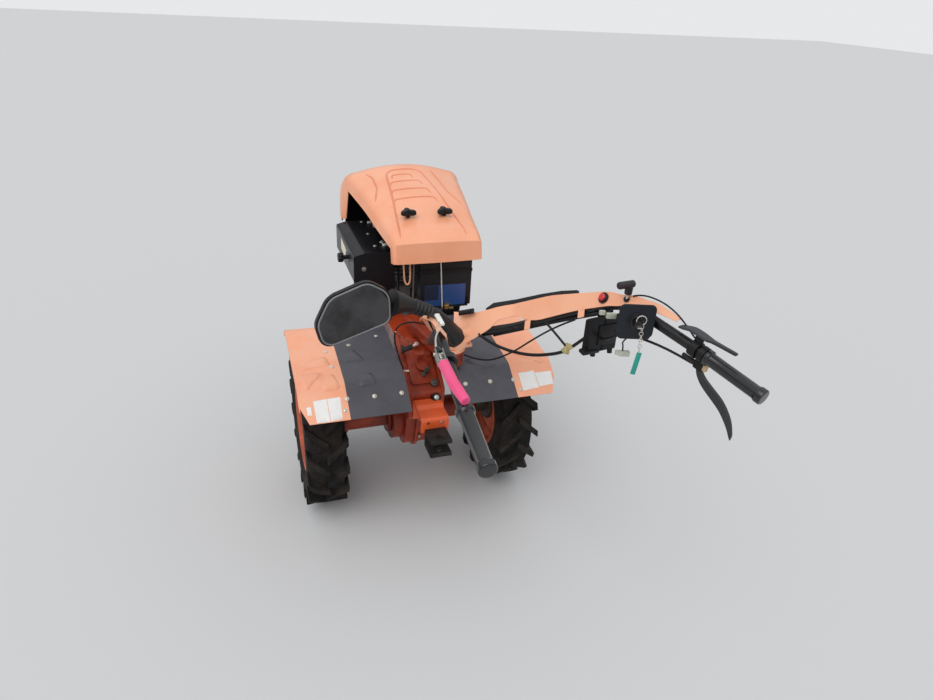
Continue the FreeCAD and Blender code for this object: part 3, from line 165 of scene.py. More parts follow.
FINISHES = {
    finish.name: finish
    for finish in (
        Finish("hood_paint", (0.96, 0.42, 0.24), (0.93, 0.37, 0.19), 0.3, 0.45, coat=0.4,
               relief=0.05, dust=0.12, dust_colour=(0.92, 0.58, 0.42), wear=0.03,
               wear_colour=(0.6, 0.22, 0.12)),
        Finish("fender_orange", (0.96, 0.42, 0.24), (0.92, 0.36, 0.20), 0.4, 0.6, coat=0.15,
               relief=0.08, dust=0.3, dust_colour=(0.9, 0.62, 0.48), wear=0.12,
               wear_colour=(0.25, 0.1, 0.06)),
        Finish("bar_orange", (0.97, 0.48, 0.29), (0.94, 0.42, 0.24), 0.36, 0.55, coat=0.25,
               relief=0.06, dust=0.1, dust_colour=(0.8, 0.5, 0.36), wear=0.08,
               wear_colour=(0.3, 0.1, 0.05)),
        Finish("casting_orange", (0.44, 0.048, 0.01), (0.18, 0.017, 0.006), 0.36, 0.6, coat=0.2,
               grain=Grain.CAST, relief=0.5, dust=0.1, dust_colour=(0.14, 0.06, 0.03), mud=0.35,
               wear=0.2, wear_colour=(0.04, 0.02, 0.015), slot="cast_orange", shine=0.3),
        Finish("fender_black", (0.078, 0.076, 0.092), (0.055, 0.054, 0.066), 0.36, 0.5,
               relief=0.12, dust=0.35, dust_colour=(0.10, 0.10, 0.11), wear=0.12,
               wear_colour=(0.2, 0.2, 0.21), slot="sheet_black"),
        Finish("housing_black", (0.005, 0.0045, 0.006), (0.008, 0.007, 0.009), 0.3, 0.45,
               relief=0.15, dust=0.1, dust_colour=(0.05, 0.05, 0.055), wear=0.03,
               wear_colour=(0.1, 0.1, 0.11), slot="sheet_black", shine=0.25),
        Finish("frame_black", (0.01, 0.009, 0.01), (0.018, 0.016, 0.015), 0.45, 0.7,
               grain=Grain.CAST, relief=0.2, dust=0.3, dust_colour=(0.09, 0.08, 0.07), mud=0.3,
               wear=0.12, wear_colour=(0.16, 0.12, 0.1), slot="sheet_black", shine=0.25),
        Finish("tyre_rubber", (0.009, 0.0085, 0.0085), (0.016, 0.015, 0.014), 0.7, 0.95,
               grain=Grain.RUBBER, relief=0.8, dust=0.3, dust_colour=(0.06, 0.052, 0.045), mud=0.7,
               wear=0.0, slot="tyre", shine=0.15),
        Finish("rim_paint", (0.66, 0.12, 0.038), (0.48, 0.075, 0.024), 0.45, 0.65, grain=Grain.PEEL,
               relief=0.15, dust=0.4, dust_colour=(0.22, 0.13, 0.09), mud=0.5, wear=0.2,
               wear_colour=(0.16, 0.06, 0.04), slot="rim_orange"),
        Finish("hub_iron", (0.05, 0.045, 0.04), (0.10, 0.07, 0.05), 0.5, 0.75, metallic=0.6,
               grain=Grain.CAST, relief=0.4, dust=0.5, mud=0.4, wear=0.2, slot="hub_metal"),
        Finish("aluminium_cast", (0.57, 0.57, 0.57), (0.38, 0.38, 0.38), 0.45, 0.65, metallic=0.9,
               grain=Grain.CAST, relief=0.35, dust=0.3, mud=0.1, wear=0.1,
               wear_colour=(0.6, 0.6, 0.6), slot="engine_metal"),
        Finish("gloss_black", (0.007, 0.007, 0.008), (0.012, 0.012, 0.012), 0.25, 0.45, coat=0.2,
               relief=0.05, dust=0.15, dust_colour=(0.07, 0.07, 0.07), shine=0.3, wear=0.05,
               slot="tank_black"),
        Finish("scorched_steel", (0.10, 0.075, 0.06), (0.20, 0.10, 0.06), 0.6, 0.85, metallic=0.5,
               grain=Grain.CAST, relief=0.3, dust=0.3, wear=0.2, wear_colour=(0.3, 0.14, 0.07),
               slot="hub_metal"),
        Finish("battery_plastic", (0.009, 0.008, 0.009), (0.014, 0.013, 0.014), 0.42, 0.6,
               grain=Grain.MOULD, relief=0.2, dust=0.2, dust_colour=(0.07, 0.07, 0.07), wear=0.03,
               slot="battery_case", shine=0.3),
        Finish("zinc", (0.84, 0.81, 0.74), (0.62, 0.57, 0.46), 0.32, 0.55, metallic=1.0,
               grain=Grain.BRUSH, relief=0.1, dust=0.15, wear=0.15, wear_colour=(0.3, 0.22, 0.14),
               slot="plated"),
        Finish("arm_paint", (0.006, 0.006, 0.007), (0.011, 0.01, 0.011), 0.28, 0.45, coat=0.1,
               relief=0.06, dust=0.12, dust_colour=(0.06, 0.06, 0.06), shine=0.35, wear=0.1,
               wear_colour=(0.25, 0.24, 0.23), slot="arm_black"),
        Finish("grip_gloss", (0.006, 0.006, 0.007), (0.012, 0.012, 0.013), 0.16, 0.3, coat=0.3,
               grain=Grain.RUBBER, relief=0.08, dust=0.15, dust_colour=(0.09, 0.09, 0.09),
               wear=0.1, wear_colour=(0.1, 0.1, 0.1), slot="grip_rubber"),
        Finish("boot_rubber", (0.011, 0.01, 0.011), (0.018, 0.017, 0.018), 0.36, 0.55,
               grain=Grain.RUBBER, relief=0.12, dust=0.15, dust_colour=(0.07, 0.07, 0.07), shine=0.4,
               wear=0.05, slot="grip_rubber"),
        Finish("pink_sleeve", (0.92, 0.10, 0.27), (0.84, 0.075, 0.22), 0.35, 0.5,
               grain=Grain.MOULD, relief=0.08, dust=0.08, dust_colour=(0.8, 0.4, 0.5), wear=0.05,
               wear_colour=(0.45, 0.03, 0.1), slot="lever_pink"),
        Finish("black_plastic", (0.007, 0.007, 0.008), (0.012, 0.012, 0.013), 0.38, 0.55,
               grain=Grain.MOULD, relief=0.15, dust=0.12, dust_colour=(0.07, 0.07, 0.07), shine=0.25,
               wear=0.06, wear_colour=(0.12, 0.12, 0.13), slot="plastic_black"),
        Finish("red_button", (0.70, 0.03, 0.05), (0.56, 0.024, 0.035), 0.25, 0.4,
               grain=Grain.MOULD, relief=0.05, dust=0.1, wear=0.0, slot="button_red"),
        # Near-black, blotchy metal on the mirror glass: painted reflection of dark surroundings, with streaks, not
        # the glass's own silver.
        Finish("mirror_painted_dark_reflection", (0.085, 0.082, 0.085), (0.035, 0.036, 0.036), 0.06, 0.2, metallic=1.0,
               grain=Grain.PEEL, relief=0.0, dust=0.1, dust_colour=(0.16, 0.16, 0.15), wear=0.1,
               wear_colour=(0.14, 0.14, 0.14),
               slot="mirror_glass"),
        Finish("cable_sheath", (0.007, 0.006, 0.007), (0.012, 0.011, 0.011), 0.42, 0.6,
               grain=Grain.MOULD, relief=0.1, dust=0.12, dust_colour=(0.06, 0.06, 0.06), wear=0.0, shine=0.3,
               slot="cable_black"),
        Finish("label_white", (0.88, 0.88, 0.86), (0.82, 0.81, 0.78), 0.4, 0.5,
               grain=Grain.MOULD, relief=0.04, dust=0.15, dust_colour=(0.6, 0.55, 0.48), wear=0.1,
               wear_colour=(0.5, 0.45, 0.4), slot="plated"),
        Finish("label_blue", (0.03, 0.085, 0.28), (0.025, 0.07, 0.23), 0.3, 0.45,
               grain=Grain.MOULD, relief=0.03, dust=0.2, dust_colour=(0.25, 0.3, 0.45), wear=0.05,
               wear_colour=(0.2, 0.25, 0.35), slot="battery_case"),
        Finish("brass", (0.92, 0.65, 0.24), (0.68, 0.43, 0.16), 0.35, 0.55, metallic=1.0,
               grain=Grain.BRUSH, relief=0.1, dust=0.2, wear=0.1, slot="plated"),
        Finish("teal_tag", (0.015, 0.38, 0.30), (0.015, 0.30, 0.24), 0.35, 0.5, grain=Grain.MOULD,
               relief=0.05, dust=0.1, wear=0.0, slot="plastic_black"),
        Finish("tape_yellow", (0.57, 0.49, 0.22), (0.43, 0.36, 0.16), 0.4, 0.6,
               grain=Grain.MOULD, relief=0.1, dust=0.2, wear=0.0, slot="plated"),
        # Darker than hood_paint: the beads carry painted shade, standing in for the shadow along their feet.
        Finish("shade_painted_bead", (0.86, 0.30, 0.16), (0.80, 0.25, 0.13), 0.35, 0.5, coat=0.2,
               relief=0.02, dust=0.05, dust_colour=(0.6, 0.3, 0.2), wear=0.0),
        Finish("hitch_orange", (0.86, 0.13, 0.025), (0.74, 0.095, 0.02), 0.42, 0.6, coat=0.15,
               relief=0.08, dust=0.2, dust_colour=(0.4, 0.2, 0.12), mud=0.15, wear=0.15,
               wear_colour=(0.2, 0.07, 0.04)),
        Finish("dull_zinc", (0.49, 0.47, 0.43), (0.32, 0.30, 0.26), 0.4, 0.6, metallic=1.0,
               grain=Grain.BRUSH, relief=0.1, dust=0.2, wear=0.15, slot="plated"),
        Finish("label_dark", (0.012, 0.018, 0.05), (0.014, 0.02, 0.05), 0.32, 0.45,
               grain=Grain.MOULD, relief=0.03, dust=0.15, dust_colour=(0.2, 0.22, 0.3), wear=0.03,
               slot="battery_case"),
        Finish("label_cream", (0.89, 0.84, 0.65), (0.78, 0.73, 0.57), 0.4, 0.5, grain=Grain.MOULD,
               relief=0.04, dust=0.15, wear=0.08, slot="plated"),
        Finish("pale_strap", (0.92, 0.92, 0.86), (0.81, 0.77, 0.68), 0.35, 0.5, metallic=0.2,
               grain=Grain.MOULD, relief=0.05, dust=0.1, wear=0.05, slot="plated"),
        Finish("mirror_case", (0.01, 0.009, 0.011), (0.014, 0.013, 0.015), 0.38, 0.55,
               grain=Grain.MOULD, relief=0.12, dust=0.12, dust_colour=(0.08, 0.08, 0.08), shine=0.35,
               wear=0.05, slot="plastic_black"),
        Finish("rim_grey", (0.22, 0.22, 0.23), (0.16, 0.16, 0.17), 0.3, 0.45,
               grain=Grain.MOULD, relief=0.05, dust=0.15, wear=0.0, slot="plastic_black"),
        Finish("panel_plastic", (0.01, 0.013, 0.019), (0.014, 0.017, 0.023), 0.4, 0.55,
               grain=Grain.MOULD, relief=0.12, dust=0.12, dust_colour=(0.08, 0.08, 0.08), shine=0.3,
               wear=0.04, slot="plastic_black"),
        Finish("grip_dark", (0.016, 0.009, 0.012), (0.03, 0.02, 0.022), 0.45, 0.6,
               grain=Grain.MOULD, relief=0.1, dust=0.2, dust_colour=(0.1, 0.08, 0.08), wear=0.05,
               slot="plastic_black"),
        Finish("lever_dark", (0.022, 0.022, 0.025), (0.034, 0.034, 0.038), 0.34, 0.5,
               grain=Grain.MOULD, relief=0.1, dust=0.15, dust_colour=(0.12, 0.12, 0.12), wear=0.06,
               wear_colour=(0.14, 0.14, 0.15), slot="plastic_black"),
        Finish("tan_plastic", (0.57, 0.41, 0.22), (0.46, 0.32, 0.18), 0.4, 0.6, grain=Grain.MOULD,
               relief=0.08, dust=0.15, wear=0.05, slot="plated"),
        Finish("clevis_grey", (0.35, 0.38, 0.36), (0.24, 0.26, 0.25), 0.38, 0.55, metallic=0.6,
               grain=Grain.CAST, relief=0.15, dust=0.2, wear=0.1, slot="plated"),
        Finish("clear_plug", (0.57, 0.59, 0.49), (0.41, 0.43, 0.35), 0.2, 0.4, grain=Grain.MOULD,
               relief=0.05, dust=0.1, wear=0.0, slot="plastic_black"),
    )
}


class Paintbox:
    """Makes the shader groups once and a material for each finish."""

    def __init__(self) -> None:
        """Build the shared groups."""
        self.groups = {
            "blotches": self.blotches(),
            "settled_dust": self.settled_dust(),
            "splashed_mud": self.splashed_mud(),
            "scuffs": self.scuffs(),
            "grain": self.grain(),
        }
        self.made: dict[str, bpy.types.Material] = {}

    @staticmethod
    def group(name: str, inputs: dict[str, float | None], outputs: list[str]) -> tuple:
        """Start a shader group with named sockets.

        Args:
            name: The group's name.
            inputs: Socket name to default, None for a vector.
            outputs: Names of the value outputs.

        Returns:
            The group, its input node and its output node.
        """
        tree = bpy.data.node_groups.new(name, "ShaderNodeTree")
        for socket, value in inputs.items():
            kind = "NodeSocketVector" if value is None else "NodeSocketFloat"
            made = tree.interface.new_socket(socket, in_out="INPUT", socket_type=kind)
            if value is not None:
                made.default_value = value
        for socket in outputs:
            tree.interface.new_socket(socket, in_out="OUTPUT", socket_type="NodeSocketFloat")
        return tree, tree.nodes.new("NodeGroupInput"), tree.nodes.new("NodeGroupOutput")

    @staticmethod
    def node(tree: bpy.types.NodeTree, kind: str, **values: object) -> bpy.types.Node:
        """Add a node and set plain properties on it."""
        made = tree.nodes.new(kind)
        for key, value in values.items():
            setattr(made, key, value)
        return made

    def noise(self, tree: bpy.types.NodeTree, start: bpy.types.Node, detail: float,
              rough: float) -> bpy.types.Node:
        """Noise that reads a group's Vector and Scale."""
        made = self.node(tree, "ShaderNodeTexNoise")
        made.inputs["Detail"].default_value = detail
        made.inputs["Roughness"].default_value = rough
        tree.links.new(start.outputs["Vector"], made.inputs["Vector"])
        tree.links.new(start.outputs["Scale"], made.inputs["Scale"])
        return made

    def span(self, tree: bpy.types.NodeTree, source: bpy.types.NodeSocket, low: float,
             high: float) -> bpy.types.NodeSocket:
        """Smooth step of a value between two limits."""
        made = self.node(tree, "ShaderNodeMapRange", interpolation_type="SMOOTHSTEP")
        made.inputs["From Min"].default_value = low
        made.inputs["From Max"].default_value = high
        tree.links.new(source, made.inputs["Value"])
        return made.outputs["Result"]

    def times(self, tree: bpy.types.NodeTree, first: bpy.types.NodeSocket,
              second: bpy.types.NodeSocket) -> bpy.types.NodeSocket:
        """Product of two values, kept within 0 and 1."""
        made = self.node(tree, "ShaderNodeMath", operation="MULTIPLY", use_clamp=True)
        tree.links.new(first, made.inputs[0])
        tree.links.new(second, made.inputs[1])
        return made.outputs[0]

    def blotches(self) -> bpy.types.NodeTree:
        """Soft patches of tone."""
        tree, start, end = self.group("blotches", {"Vector": None, "Scale": 6.0}, ["Mask"])
        made = self.noise(tree, start, 5.0, 0.6)
        tree.links.new(self.span(tree, made.outputs["Fac"], 0.35, 0.68), end.inputs["Mask"])
        return tree

    def settled_dust(self) -> bpy.types.NodeTree:
        """Dust on faces that look up, thicker in patches."""
        tree, start, end = self.group(
            "settled_dust", {"Vector": None, "Scale": 14.0, "Amount": 0.3}, ["Mask"])
        made = self.noise(tree, start, 7.0, 0.68)
        patch = self.span(tree, made.outputs["Fac"], 0.32, 0.75)
        facing = self.node(tree, "ShaderNodeNewGeometry")
        split = self.node(tree, "ShaderNodeSeparateXYZ")
        tree.links.new(facing.outputs["Normal"], split.inputs[0])
        upward = self.span(tree, split.outputs["Z"], -0.2, 0.95)
        mask = self.times(tree, patch, upward)
        tree.links.new(self.times(tree, mask, start.outputs["Amount"]), end.inputs["Mask"])
        return tree

    def splashed_mud(self) -> bpy.types.NodeTree:
        """Dried splashes that thin out with height above the ground."""
        tree, start, end = self.group(
            "splashed_mud", {"Vector": None, "Scale": 22.0, "Amount": 0.5, "Top": 0.7}, ["Mask"])
        made = self.noise(tree, start, 8.0, 0.7)
        patch = self.span(tree, made.outputs["Fac"], 0.42, 0.62)
        split = self.node(tree, "ShaderNodeSeparateXYZ")
        tree.links.new(start.outputs["Vector"], split.inputs[0])
        fade = self.node(tree, "ShaderNodeMapRange")
        fade.inputs["From Min"].default_value = 0.0
        fade.inputs["To Min"].default_value = 1.0
        fade.inputs["To Max"].default_value = 0.0
        tree.links.new(split.outputs["Z"], fade.inputs["Value"])
        tree.links.new(start.outputs["Top"], fade.inputs["From Max"])
        mask = self.times(tree, patch, fade.outputs["Result"])
        tree.links.new(self.times(tree, mask, start.outputs["Amount"]), end.inputs["Mask"])
        return tree

    def scuffs(self) -> bpy.types.NodeTree:
        """Short rubbed marks and chips."""
        tree, start, end = self.group(
            "scuffs", {"Vector": None, "Scale": 30.0, "Amount": 0.2}, ["Mask"])
        stretch = self.node(tree, "ShaderNodeMapping")
        stretch.inputs["Scale"].default_value = (1.0, 0.25, 1.6)
        stretch.inputs["Rotation"].default_value = (0.3, 0.5, 0.7)
        tree.links.new(start.outputs["Vector"], stretch.inputs["Vector"])
        made = self.node(tree, "ShaderNodeTexNoise")
        made.inputs["Detail"].default_value = 9.0
        made.inputs["Roughness"].default_value = 0.72
        tree.links.new(stretch.outputs["Vector"], made.inputs["Vector"])
        tree.links.new(start.outputs["Scale"], made.inputs["Scale"])
        mark = self.span(tree, made.outputs["Fac"], 0.60, 0.66)
        tree.links.new(self.times(tree, mark, start.outputs["Amount"]), end.inputs["Mask"])
        return tree

    def grain(self) -> bpy.types.NodeTree:
        """Fine relief of a surface."""
        tree, start, end = self.group("grain", {"Vector": None, "Scale": 400.0}, ["Height"])
        made = self.noise(tree, start, 3.0, 0.55)
        tree.links.new(made.outputs["Fac"], end.inputs["Height"])
        return tree

    def place(self, tree: bpy.types.NodeTree, name: str, where: bpy.types.NodeSocket,
              **values: float) -> bpy.types.Node:
        """Put a shared group into a material with its own values."""
        made = tree.nodes.new("ShaderNodeGroup")
        made.node_tree = self.groups[name]
        tree.links.new(where, made.inputs["Vector"])
        for key, value in values.items():
            made.inputs[key.capitalize()].default_value = value
        return made

    def mix(self, tree: bpy.types.NodeTree, mask: bpy.types.NodeSocket,
            under: object, over: object, colours: bool) -> bpy.types.NodeSocket:
        """Mix two colours or two values by a mask.

        Args:
            tree: The material's tree.
            mask: The mask socket.
            under: A socket or a plain value where the mask is 0.
            over: A socket or a plain value where the mask is 1.
            colours: True for colours, False for values.

        Returns:
            The mixed socket.
        """
        made = self.node(tree, "ShaderNodeMix", data_type="RGBA" if colours else "FLOAT")
        first, second = (6, 7) if colours else (2, 3)
        tree.links.new(mask, made.inputs[0])
        for index, value in ((first, under), (second, over)):
            if isinstance(value, bpy.types.NodeSocket):
                tree.links.new(value, made.inputs[index])
            elif colours:
                made.inputs[index].default_value = (*value, 1.0)
            else:
                made.inputs[index].default_value = value
        return made.outputs[2 if colours else 0]

    def material(self, name: str) -> bpy.types.Material:
        """The material of a finish, made when first asked for."""
        if name in self.made:
            return self.made[name]
        finish = FINISHES[name]
        material = bpy.data.materials.new(name)
        material.use_nodes = True
        tree = material.node_tree
        shader = tree.nodes["Principled BSDF"]
        where = tree.nodes.new("ShaderNodeTexCoord").outputs["Object"]
        scale = {Grain.PEEL: 260.0, Grain.CAST: 330.0, Grain.MOULD: 900.0, Grain.RUBBER: 420.0,
                 Grain.BRUSH: 700.0}[finish.grain]
        tone = self.place(tree, "blotches", where, scale=7.0)
        colour = self.mix(tree, tone.outputs["Mask"], finish.colour, finish.shade, True)
        rough = self.mix(tree, tone.outputs["Mask"], finish.rough,
                         (finish.rough + finish.rough_worn) / 2, False)
        if finish.wear > 0:
            worn = self.place(tree, "scuffs", where, scale=26.0, amount=finish.wear)
            colour = self.mix(tree, worn.outputs["Mask"], colour, finish.wear_colour, True)
            rough = self.mix(tree, worn.outputs["Mask"], rough, finish.rough_worn, False)
        if finish.dust > 0:
            dust = self.place(tree, "settled_dust", where, scale=11.0, amount=finish.dust)
            colour = self.mix(tree, dust.outputs["Mask"], colour, finish.dust_colour, True)
            rough = self.mix(tree, dust.outputs["Mask"], rough, 0.8, False)
        if finish.mud > 0:
            mud = self.place(tree, "splashed_mud", where, scale=17.0, amount=finish.mud, top=0.8)
            colour = self.mix(tree, mud.outputs["Mask"], colour, (0.058, 0.045, 0.036), True)
            rough = self.mix(tree, mud.outputs["Mask"], rough, 0.95, False)
        tree.links.new(colour, shader.inputs["Base Color"])
        tree.links.new(rough, shader.inputs["Roughness"])
        shader.inputs["Metallic"].default_value = finish.metallic
        shader.inputs["Specular IOR Level"].default_value = finish.shine
        shader.inputs["Coat Weight"].default_value = finish.coat
        shader.inputs["Coat Roughness"].default_value = 0.12
        if finish.relief > 0:
            relief = self.place(tree, "grain", where, scale=scale)
            bump = tree.nodes.new("ShaderNodeBump")
            bump.inputs["Strength"].default_value = finish.relief
            bump.inputs["Distance"].default_value = 0.0006
            tree.links.new(relief.outputs["Height"], bump.inputs["Height"])
            tree.links.new(bump.outputs["Normal"], shader.inputs["Normal"])
        self.made[name] = material
        return material

    def dress(self, piece: bpy.types.Object, name: str) -> None:
        """Give a piece one finish."""
        piece.data.materials.clear()
        piece.data.materials.append(self.material(name))


class Maker:
    """What every sub-assembly uses to add its pieces."""

    def __init__(self, paint: Paintbox) -> None:
        """Keep the paintbox and start the list of made pieces."""
        self.paint = paint
        self.names: list[str] = []

    def keep(self, piece: bpy.types.Object, finish: str, body: str) -> bpy.types.Object:
        """Dress a piece, put it on its body and report it."""
        self.paint.dress(piece, finish)
        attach(piece, body)
        self.names.append(piece.name)
        LOG.info("%s on %s", piece.name, body)
        return piece

    def skin(self, node: str, finish: str, edge: float = 0.8, angle: float = 32.0,
             reshape: Callable[[Vector], Vector] | None = None) -> bpy.types.Object:
        """Stand a smooth-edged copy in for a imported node.

        Args:
            node: The node's name.
            finish: The finish's name.
            edge: Width of the rounded edges in millimetres, 0 for none.
            angle: Edges steeper than this are rounded, in degrees.
            reshape: Moves each corner, in metres, or None.

        Returns:
            The copy.
        """
        source = frame["nodes"][node]
        bm = bmesh.new()
        bm.from_mesh(source.data)
        if reshape:
            for vert in bm.verts:
                vert.co = reshape(vert.co)
        bmesh.ops.remove_doubles(bm, verts=bm.verts[:], dist=0.02 * MM)
        bmesh.ops.dissolve_limit(bm, angle_limit=math.radians(0.8), verts=bm.verts[:],
                                 edges=bm.edges[:])
        piece = finish_mesh(bm, f"{node}_skin", angle)
        if edge > 0:
            soften(piece, edge, 2, angle)
        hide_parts(node)
        return self.keep(piece, finish, source["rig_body"])

    def surface(self, node: str) -> BVHTree:
        """Tree for finding places on a node's surface."""
        mesh = frame["nodes"][node].data
        return BVHTree.FromPolygons([v.co for v in mesh.vertices],
                                    [tuple(p.vertices) for p in mesh.polygons])

    def cable(self, name: str, points: list[Vector], radius: float, finish: str,
              body: str) -> bpy.types.Object:
        """Smooth round cable through control points.

        Args:
            name: The piece's name.
            points: Control points in metres.
            radius: Radius in millimetres.
            finish: The finish's name.
            body: The body it rides on.

        Returns:
            The curve object.
        """
        data = bpy.data.curves.new(name, "CURVE")
        data.dimensions = "3D"
        data.bevel_depth = radius * MM
        data.bevel_resolution = 3
        data.resolution_u = 10
        data.use_fill_caps = True
        spline = data.splines.new("NURBS")
        spline.points.add(len(points) - 1)
        for spot, place in zip(spline.points, points):
            spot.co = (*place, 1.0)
        spline.order_u = 3
        spline.use_endpoint_u = True
        piece = bpy.data.objects.new(name, data)
        bpy.context.scene.collection.objects.link(piece)
        return self.keep(piece, finish, body)


# Hardware


def add_ring(bm: bmesh.types.BMesh, place: Matrix, segments: int, low: float, high: float,
             radius: float, top_radius: float | None = None) -> None:
    """Add a closed round or many-sided plug between two heights along a place's Z, in millimetres."""
    top = radius if top_radius is None else top_radius
    centre = place @ Matrix.Translation((0, 0, (low + high) / 2 * MM))
    bmesh.ops.create_cone(bm, cap_ends=True, segments=segments, radius1=radius * MM,
                          radius2=top * MM, depth=(high - low) * MM, matrix=centre)


def hex_bolt(bm: bmesh.types.BMesh, place: Matrix, across: float, shank: float = 0.0) -> None:
    """Add a hexagon head with its washer, and a threaded end above it where shank is not 0."""
    half = across / math.sqrt(3)
    add_ring(bm, place, 20, -0.6, across * 0.12, across * 0.86)
    add_ring(bm, place, 6, across * 0.12, across * 0.68, half)
    add_ring(bm, place, 12, across * 0.68, across * 0.76, half * 0.82, half * 0.6)
    if shank > 0:
        add_ring(bm, place, 12, across * 0.7, across * 0.76 + shank, across * 0.3, across * 0.26)


def dome_bolt(bm: bmesh.types.BMesh, place: Matrix, radius: float) -> None:
    """Add a low round head on a washer."""
    add_ring(bm, place, 20, -0.6, 1.2, radius * 1.35)
    add_ring(bm, place, 16, 1.2, radius * 0.55, radius, radius * 0.8)
    add_ring(bm, place, 16, radius * 0.55, radius * 0.72, radius * 0.8, radius * 0.45)


def block(bm: bmesh.types.BMesh, place: Matrix, wide: float, deep: float, high: float,
          edge: float = 0.0) -> list:
    """Add a box centred on a place, its edges rounded, all in millimetres."""
    size = Matrix.Diagonal((wide * MM, deep * MM, high * MM, 1))
    made = bmesh.ops.create_cube(bm, size=1.0, matrix=place @ size)
    if edge > 0:
        edges = {e for v in made["verts"] for e in v.link_edges}
        bmesh.ops.bevel(bm, geom=list(edges), offset=edge * MM, segments=2, profile=0.5,
                        affect="EDGES", material=-1)
    return made["verts"]


def plate(bm: bmesh.types.BMesh, place: Matrix, corners: list[tuple[float, float]], thick: float,
          edge: float = 0.0) -> None:
    """Add a flat plate from corners in a place's XY, pushed up along its Z, in millimetres."""
    verts = [bm.verts.new(place @ Vector((a * MM, b * MM, 0))) for a, b in corners]
    face = bm.faces.new(verts)
    made = bmesh.ops.extrude_face_region(bm, geom=[face])
    top = [v for v in made["geom"] if isinstance(v, bmesh.types.BMVert)]
    shift = (place.to_3x3() @ Vector((0, 0, 1))).normalized() * thick * MM
    bmesh.ops.translate(bm, verts=top, vec=shift)
    if edge > 0:
        faces = [f for f in made["geom"] if isinstance(f, bmesh.types.BMFace)]
        edges = {e for f in faces for e in f.edges}
        bmesh.ops.bevel(bm, geom=list(edges), offset=edge * MM, segments=2, profile=0.5,
                        affect="EDGES", material=-1)


def rounded(wide: float, high: float, radius: float, steps: int = 5) -> list[tuple[float, float]]:
    """Corners of a rounded rectangle about the origin, in millimetres."""
    corners = []
    for sx, sy, start in ((1, 1, 0), (-1, 1, 90), (-1, -1, 180), (1, -1, 270)):
        for i in range(steps + 1):
            angle = math.radians(start + 90 * i / steps)
            corners.append((sx * (wide / 2 - radius) + radius * math.cos(angle),
                            sy * (high / 2 - radius) + radius * math.sin(angle)))
    return corners


# Forms


def add_loft(bm: bmesh.types.BMesh, rings: list[list[Vector]]) -> None:
    """Join closed rings of equal counts into a solid, points in metres."""
    rows = [[bm.verts.new(point) for point in ring] for ring in rings]
    count = len(rows[0])
    for near, far in zip(rows, rows[1:]):
        for i in range(count):
            k = (i + 1) % count
            bm.faces.new((near[i], near[k], far[k], far[i]))
    bm.faces.new(rows[0][::-1])
    bm.faces.new(rows[-1])


def add_sleeve(bm: bmesh.types.BMesh, place: Matrix, inner: float, outer: float, low: float,
               high: float, segments: int = 28) -> None:
    """Add a round sleeve with an open bore along a place's Z, in millimetres."""
    corners = ((inner, low), (outer, low), (outer, high), (inner, high))
    rings = []
    for i in range(segments):
        angle = 2 * math.pi * i / segments
        rings.append([bm.verts.new(place @ Vector((r * math.cos(angle) * MM, r * math.sin(angle) * MM,
                                                   z * MM))) for r, z in corners])
    for i, ring in enumerate(rings):
        onward = rings[(i + 1) % segments]
        for k in range(4):
            m = (k + 1) % 4
            bm.faces.new((ring[k], ring[m], onward[m], onward[k]))


def turned(centre: Vector, axis_x: Vector, axis_y: Vector, radius: float, count: int) -> list[Vector]:
    """Points of a circle in the plane of two axes."""
    return [centre + (axis_x * math.cos(2 * math.pi * i / count)
                      + axis_y * math.sin(2 * math.pi * i / count)) * radius for i in range(count)]


def rounded_run(corners: list[tuple[Vector, float]], step: float = 6.0) -> list[Vector]:
    """Points along straight runs joined by arcs.

    Args:
        corners: Each corner and the radius of the arc there.
        step: Greatest distance between two points of an arc.

    Returns:
        The points, from the first corner to the last.
    """
    points = [corners[0][0]]
    for (before, _), (here, radius), (after, _) in zip(corners, corners[1:], corners[2:]):
        back = (before - here).normalized()
        ahead = (after - here).normalized()
        turn = math.pi - back.angle(ahead)
        if radius <= 0 or turn < 0.01:
            points.append(here)
            continue
        cut = radius * math.tan(turn / 2)
        centre = here + (back + ahead).normalized() * math.hypot(radius, cut)
        first, last = here + back * cut, here + ahead * cut
        count = max(3, math.ceil(radius * turn / step))
        for i in range(count + 1):
            arm = (first - centre).slerp(last - centre, i / count)
            points.append(centre + arm.normalized() * radius)
    points.append(corners[-1][0])
    return points


def closed_run(corners: list[tuple[Vector, float]], step: float = 6.0) -> list[Vector]:
    """Points round a closed outline whose corners are rounded."""
    points = []
    for i, (here, radius) in enumerate(corners):
        before, after = corners[i - 1][0], corners[(i + 1) % len(corners)][0]
        points += rounded_run([(before, 0), (here, radius), (after, 0)], step)[1:-1]
    return points


def smooth_rows(rows: tuple[tuple[float, ...], ...], steps: int) -> list[list[float]]:
    """Rows of numbers with Catmull-Rom rows between them."""
    out = []
    for i in range(len(rows) - 1):
        a, b, c, d = (rows[max(i - 1, 0)], rows[i], rows[i + 1], rows[min(i + 2, len(rows) - 1)])
        for k in range(steps):
            t = k / steps
            out.append([0.5 * (2 * q + (r - p) * t + (2 * p - 5 * q + 4 * r - s) * t * t
                               + (3 * q - p - 3 * r + s) * t ** 3)
                        for p, q, r, s in zip(a, b, c, d)])
    out.append(list(rows[-1]))
    return out


@dataclass(frozen=True)
class Spot:
    """Place on a handlebar tube, in the handlebar's millimetres: point and directions."""

    at: Vector
    heading: Vector
    inward: Vector
    up: Vector

    def sheet(self) -> tuple[Vector, Vector]:
        """Slope and outward normal of the sheet cover over the tube here."""
        return self.up * 0.8 - self.inward * 0.6, self.inward * 0.8 + self.up * 0.6

    def matrix(self, at: Vector, axis: Vector, along: Vector) -> Matrix:
        """World place at a handlebar point with Z along an axis."""
        spin = Matrix.Rotation(math.radians(7.7), 3, "Z")
        return placed(bar(*at), spin @ axis, spin @ along)


